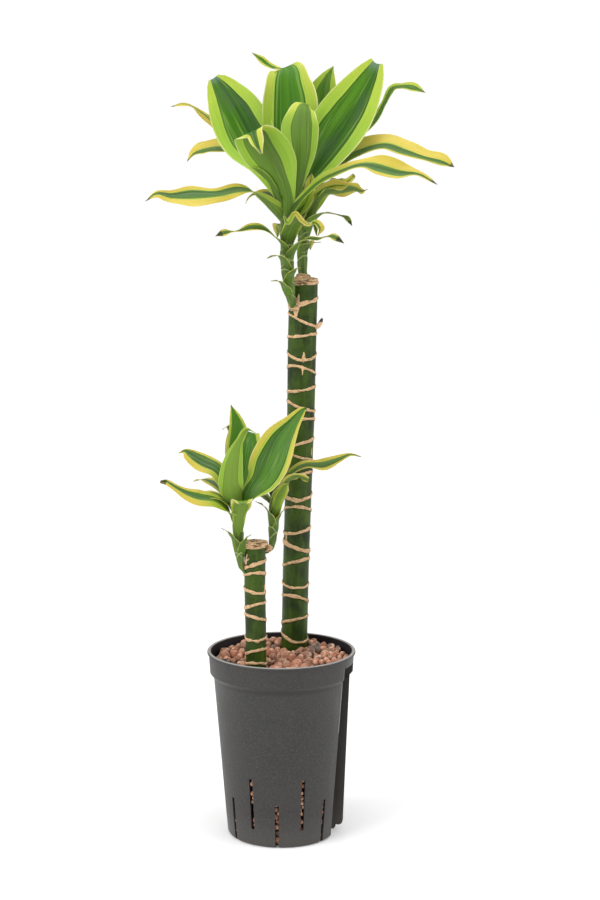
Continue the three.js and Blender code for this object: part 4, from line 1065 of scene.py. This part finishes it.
def addLeaf(parts, leaf, seed):  # closed blade: upper and lower skin, and a strip round the edge
    middle, lift, u, v = leafGrid(leaf, seed)
    rows, columns = u.shape
    count = rows * columns
    faces = gridQuads(rows, columns)
    upper = np.stack([faces[:, 0], faces[:, 3], faces[:, 2], faces[:, 1]], -1)
    lower = upper[:, ::-1] + count
    index = np.arange(count).reshape(rows, columns)
    loop = np.concatenate([index[0, :-1], index[:-1, -1], index[-1, :0:-1], index[:0:-1, 0]])
    after = np.roll(loop, -1)
    strip = np.stack([loop, after, after + count, loop + count], -1)
    side = np.stack([1 + 0 * u, 0 * u - 1])
    across = np.stack([v, v])
    random = np.random.default_rng(seed + 500)
    parts.add(
        np.stack([middle + lift, middle - lift]) * mm,
        np.concatenate([upper, lower, strip]),
        blade=np.stack([across - leaf["aside"] * (1 - across**2), np.stack([u, u]), side], -1),
        kind=np.tile([leaf["old"], leaf["share"], random.random()], (2 * count, 1)),
        looks=np.stack([leaf["rim"] + 0 * across, leaf["vivid"] + 0 * across, across], -1),
    )


def stemAt(stem, z):
    stem = np.asarray(stem, float)
    return [np.interp(z, stem[:, 2], stem[:, k]) for k in (0, 1, 3)]


def addStem(parts, stem, leaves):
    # The stem's own tube, then a sheath for each leaf: a collar round the stem that is tall on the
    # leaf's side, low opposite, and stands off a little more towards its upper edge.
    bottom, top = stem[0][2], stem[-1][2]
    z = np.linspace(bottom, top, stemGrid[0])[:, None]
    angle = np.linspace(0, 2 * np.pi, stemGrid[1], endpoint=False)[None, :]
    x, y, r = stemAt(stem, z)
    taper = np.sqrt(np.clip(1 - ((z - bottom) / (top - bottom)) ** 12, 0, 1))
    tube = np.stack([x + r * taper * np.cos(angle), y + r * taper * np.sin(angle), z + 0 * angle], -1)
    grid = np.concatenate([tube[:1] * 0 + tube[0].mean(0), tube])
    parts.add(grid * mm, gridQuads(*grid.shape[:2], closed=True), sheath=np.zeros(grid.shape[:2]))
    rows, columns = sheathSizes["rows"], sheathSizes["columns"]
    a = np.linspace(0, 2 * np.pi, columns, endpoint=False)[None, :]
    f = np.linspace(0, 1, rows)[:, None]
    mark = f + 0 * a
    lowest, higher, upperPower = sheathSizes["upper"]
    start, more, offPower, atLeaf = sheathSizes["off"]
    for leaf in leaves.values():
        at = np.asarray(leaf["at"], float)
        foot = at[0, 2]
        if foot > top - sheathSizes["bare"]:
            continue
        cx, cy, _ = stemAt(stem, foot)
        bearing = math.atan2(at[2, 1] - cy, at[2, 0] - cx)
        toLeaf = (1 + np.cos(a - bearing)) / 2
        low = foot - sheathSizes["below"]
        high = foot + lowest + higher * toLeaf**upperPower
        height = low + (high - low) * f
        sx, sy, sr = stemAt(stem, np.clip(height, bottom, top))
        off = sr + start + more * f**offPower + atLeaf * toLeaf * f
        outer, inner = (
            np.stack([sx + wide * np.cos(a), sy + wide * np.sin(a), height], -1)
            for wide in (off, off - sheathSizes["wall"])
        )
        ring, marks = np.concatenate([outer, inner[::-1]]), np.concatenate([mark, mark[::-1]])
        parts.add(ring * mm, gridQuads(2 * rows, columns, closed=True), sheath=marks)


# ---- leaf and stem finishes


def leafMarks():
    # Green middle with soft streaks, a dark rim and a fine pale line inside its edges, then margins
    # that run from lime to gold with a cream brim: colour and relief of a blade from its place
    # across and along, its face, its age, the middle's share of the width and a seed
    group = bpy.data.node_groups.new("leafMarks", "ShaderNodeTree")
    names = ("Across", "Along", "Face", "Age", "Share", "Seed", "Rim", "Vivid", "Edge")
    for label in names:
        group.interface.new_socket(label, in_out="INPUT", socket_type="NodeSocketFloat")
    for label, kind in (("Color", "Color"), ("Glow", "Color"), ("Relief", "Float")):
        group.interface.new_socket(label, in_out="OUTPUT", socket_type="NodeSocket" + kind)
    start, end = group.nodes.new("NodeGroupInput"), group.nodes.new("NodeGroupOutput")
    values = [Value(group, socket) for socket in start.outputs[: len(names)]]
    across, along, face, age, share, seed, rim, vivid, sideways = values

    def within(value, low, high, soft):  # 1 from low to high
        return band(value, low - soft, low) * band(value, high + soft, high)

    dry = (age - 1.0).math("MAXIMUM", 0.0)
    age = age.math("MINIMUM", 1.0)
    rim = rim * band(along, 0.5, 0.75)
    lane = vectorOf(across, along * 0.16, seed * 40)
    fine, broad = noise(lane, 11, 3, 0.55), noise(lane, 3.6, 2)
    cloud = noise(vectorOf(across, along * 2.5, seed * 70), 1.6, 2)
    sway = vectorOf(seed * 31 + across.math("SIGN") * 3, along, 0.0)
    wander = (noise(sway, 3.2, 2) - 0.5) * 0.2
    edge = share * band(along, 0.45, 0.98, 1.0, 0.78) + wander + band(along, 0.26, 0.02, 0.0, 0.5)
    d = across.math("ABSOLUTE") - edge
    outside = band(d, -0.015, 0.015)

    # painted light: one half of each blade lighter, as where light comes through it, the other half darker
    lean = across * (seed - 0.5).math("SIGN")
    # painted sheen: a grey-blue gloss streak along the middle of older leaves
    paintedSheen = within(along, 0.4, 0.85, 0.1) * age * band(broad, 0.4, 0.6, 0.15, 0.65)
    green = paint(
        blend(band(fine, 0.35, 0.66), (34, 78, 8), (68, 118, 22)),
        (band(broad, 0.45, 0.68) * 0.8, (94, 146, 36)),
        # painted light on one half of the blade
        (band(lean, -0.1, 0.14) * 0.45, (80, 136, 6)),
        # painted sheen: grey-blue patches on the green middle
        (band(cloud, 0.46, 0.66) * 0.45, (74, 98, 66)),
        (paintedSheen * band(vivid, 0.5, 0.0), (90, 120, 92)),
        (band(along, 0.3, 0.05) * band(face, -0.5, 0.5, 0.1, 0.5), (30, 64, 8)),
        (band(vivid, 0.0, 1.0, 0.0, 0.8), blend(fine, (36, 92, 0), (82, 144, 14))),
        (band(vivid, 0.0, -1.0, 0.0, 0.7), (148, 184, 66)),
        (within(broad, 0.52, 0.53, 0.02) * 0.4, (140, 178, 88)),
        (within(d, -0.05, 0.02, 0.03) * 0.45, (30, 68, 8)),
        (within(d, -0.105, -0.075, 0.025) * band(broad, 0.38, 0.55) * 0.55, (124, 164, 66)),
    )

    paler = rim * 0.7 + band(along, 0.45, 1.0) * 0.5
    lime = paint(blend(fine, (128, 174, 36), (174, 206, 78)), (paler, (210, 214, 84)))
    gold = paint(
        blend(fine, (200, 182, 64), (220, 204, 98)),
        (band(along, 0.48, 0.24) * 0.85, (142, 178, 46)),
        (band(d, 0.13, 0.03), (158, 188, 54)),
    )
    line = within(d, 0.0, 0.03, 0.04) * (age * 0.4 + 0.15)
    margin = paint(blend(age, lime, gold), (line, (190, 212, 96)))
    shore = rim * -0.12 + 0.93
    brim = (rim * 0.5).math("ADD", band(cloud, 0.35, 0.6, 0.25, 0.85), clamp=True)
    tipStart = dry * -0.2 + 0.94
    # painted sheen: grey-blue on the upper face of young leaves' tips
    paintedTipSheen = band(along, 0.9, 1.0) * (age * -0.6 + 0.6) * (outside * -1.0 + 1.0)
    color = paint(
        blend(outside, green, margin),
        (band(sideways.math("ABSOLUTE"), shore, shore + 0.06) * brim, (232, 226, 164)),
        (band(along, tipStart, tipStart + 0.035) * age * (outside * -0.1 + 0.9), (16, 30, 14)),
        (paintedTipSheen * band(face, -0.5, 0.5), (126, 146, 142)),
    )
    under = band(face, 0.2, -0.2) * (outside * -0.75 + 1.0)
    color = blend(under, color, blend(0.45, color, (124, 150, 62)))
    glow = blend(0.45, color, blend(age, (176, 206, 44), (228, 210, 84)))
    ribs = noise(vectorOf(across, along * 0.05, seed), 22, 2)
    for target, value in zip(end.inputs, (color, glow, broad * 0.8 + ribs)):
        feed(target, value)
    return group


def leafSkin(marks):
    made, tree, shader = newMaterial("variegatedLeaf", Specular_IOR_Level=0.26)
    values = [value for name in ("blade", "kind", "looks") for value in split(attribute(tree, name))]
    marked = put(tree, "ShaderNodeGroup", *values, node_tree=marks).socket.node
    color, glow, relief = (Value(tree, socket) for socket in marked.outputs)
    bump = bumpFrom(relief, 0.0006, 0.7)
    rough = band(values[2], -0.5, 0.5, 0.6, 0.4)
    feedAll(shader, {"Base Color": color, "Roughness": rough, "Normal": bump})
    through = put(tree, "ShaderNodeBsdfTranslucent", glow, bump)
    both = put(tree, "ShaderNodeMixShader", 0.32, Value(tree, shader.outputs[0]), through)
    feed(tree.nodes["Material Output"].inputs["Surface"], both)
    return made


def stemSkin():
    made, tree, shader = newMaterial("stemSheath", Roughness=0.5, Specular_IOR_Level=0.25)
    streak = noise(stretched(objectPlace(tree), 1, 1, 0.15), 320, 3)
    green = blend(band(streak, 0.35, 0.7), (62, 84, 28), (98, 120, 52))
    color = blend(band(attribute(tree, "sheath", "Fac"), 0.88, 0.97), green, (138, 158, 92))
    feedAll(shader, {"Base Color": color, "Normal": bumpFrom(streak, 0.0004, 0.6)})
    return made


def growShoots():
    leafMaterial, stemMaterial = leafSkin(leafMarks()), stemSkin()
    shoots = {
        "TallLeft": (tallLeftStem, tallLeftLeaves, tallLeftFolds, "shoot_tall_left"),
        "TallRight": (tallRightStem, tallRightLeaves, tallRightFolds, "shoot_tall_right"),
        "ShortLeft": (shortLeftStem, shortLeftLeaves, (), "shoot_short_left"),
        "ShortRight": (shortRightStem, shortRightLeaves, (), "shoot_short_right"),
    }
    for k, (label, (stem, blades, folds, node)) in enumerate(shoots.items()):
        leaves, stems = Parts(), Parts()
        for n, leaf in enumerate([*blades.values(), *folds]):
            addLeaf(leaves, leaf, 100 * k + n)
        addStem(stems, stem, blades)
        made = piece(f"leaves{label}", leaves, leafMaterial, "leaves", node)
        made.data.set_sharp_from_angle(angle=math.radians(50))
        piece(f"stem{label}", stems, stemMaterial, "leaves", node)


# ---- floor, light and camera

studio = {
    "floor": 6.0,
    "world": 0.62,
    "camera": (0.0188, -1.8, 0.657),
    "tilt": 8.31,  # degrees below level
    "lens": 73.0,  # on a sensor of 36 along the picture's long side
    "lights": (  # name, place, aim, size, watts
        ("key", (-1.7, -1.2, 1.6), (0, 0, 0.4), 1.6, 39),
        ("top", (0.1, -0.1, 2.4), (0, 0, 0.4), 1.6, 30),
        ("fill", (1.9, -0.9, 1.1), (0, 0, 0.35), 1.5, 15),
    ),
}


def aimed(made, place, target):
    made.location = place
    x, y, z = np.subtract(target, place)
    made.rotation_euler = (math.atan2(math.hypot(x, y), -z), 0, math.atan2(-x, y))
    bpy.context.scene.collection.objects.link(made)


def buildStudio():
    half = studio["floor"] / 2
    mesh = bpy.data.meshes.new("studioFloor")
    corners = [(-half, -half, 0), (half, -half, 0), (half, half, 0), (-half, half, 0)]
    mesh.from_pydata(corners, [], [(0, 1, 2, 3)])
    paper, tree, shader = newMaterial("whitePaper", Base_Color=(0.86, 0.86, 0.86, 1), Roughness=0.9)
    distance = put(tree, "ShaderNodeVectorMath", objectPlace(tree), output="Value", operation="LENGTH")
    lit = (distance * 0.23 + -0.21).math("MAXIMUM", 0.1)  # far paper is lit as brightly as near
    feedAll(shader, {"Emission Color": (1, 1, 1, 1), "Emission Strength": lit})
    mesh.materials.append(paper)
    floor = bpy.data.objects.new("studioFloor", mesh)
    bpy.context.scene.collection.objects.link(floor)
    world = bpy.data.worlds.new("studioLight")
    world.use_nodes = True
    back = world.node_tree.nodes["Background"]
    seen = put(world.node_tree, "ShaderNodeLightPath", output="Is Camera Ray")
    feedAll(back, {"Color": (1, 1, 1, 1), "Strength": seen * (1.02 - studio["world"]) + studio["world"]})
    bpy.context.scene.world = world
    for name, place, target, size, watts in studio["lights"]:
        lamp = bpy.data.lights.new(name, "AREA")
        lamp.size, lamp.energy = size, watts
        aimed(bpy.data.objects.new(name, lamp), place, target)
    lens = bpy.data.cameras.new("photoCamera")
    lens.sensor_fit, lens.sensor_height, lens.sensor_width = "VERTICAL", 36, 24
    lens.lens = studio["lens"]
    lens.clip_start, lens.clip_end = 0.05, 50
    camera = bpy.data.objects.new("photoCamera", lens)
    camera.location = studio["camera"]
    camera.rotation_euler = (math.radians(90 - studio["tilt"]), 0, 0)
    bpy.context.scene.collection.objects.link(camera)
    bpy.context.scene.camera = camera
    bpy.context.scene.view_settings.view_transform = "Standard"


buildStudio()
print("studio ready")
buildPot()
buildClay()
print("pot filled")
skin = caneBark()
caneSkin("barkTall", tallCane, skin, "cane_tall")
caneSkin("barkShort", shortCane, skin, "cane_short")
caneSpur()
print("canes ready")
growShoots()
print("shoots ready")
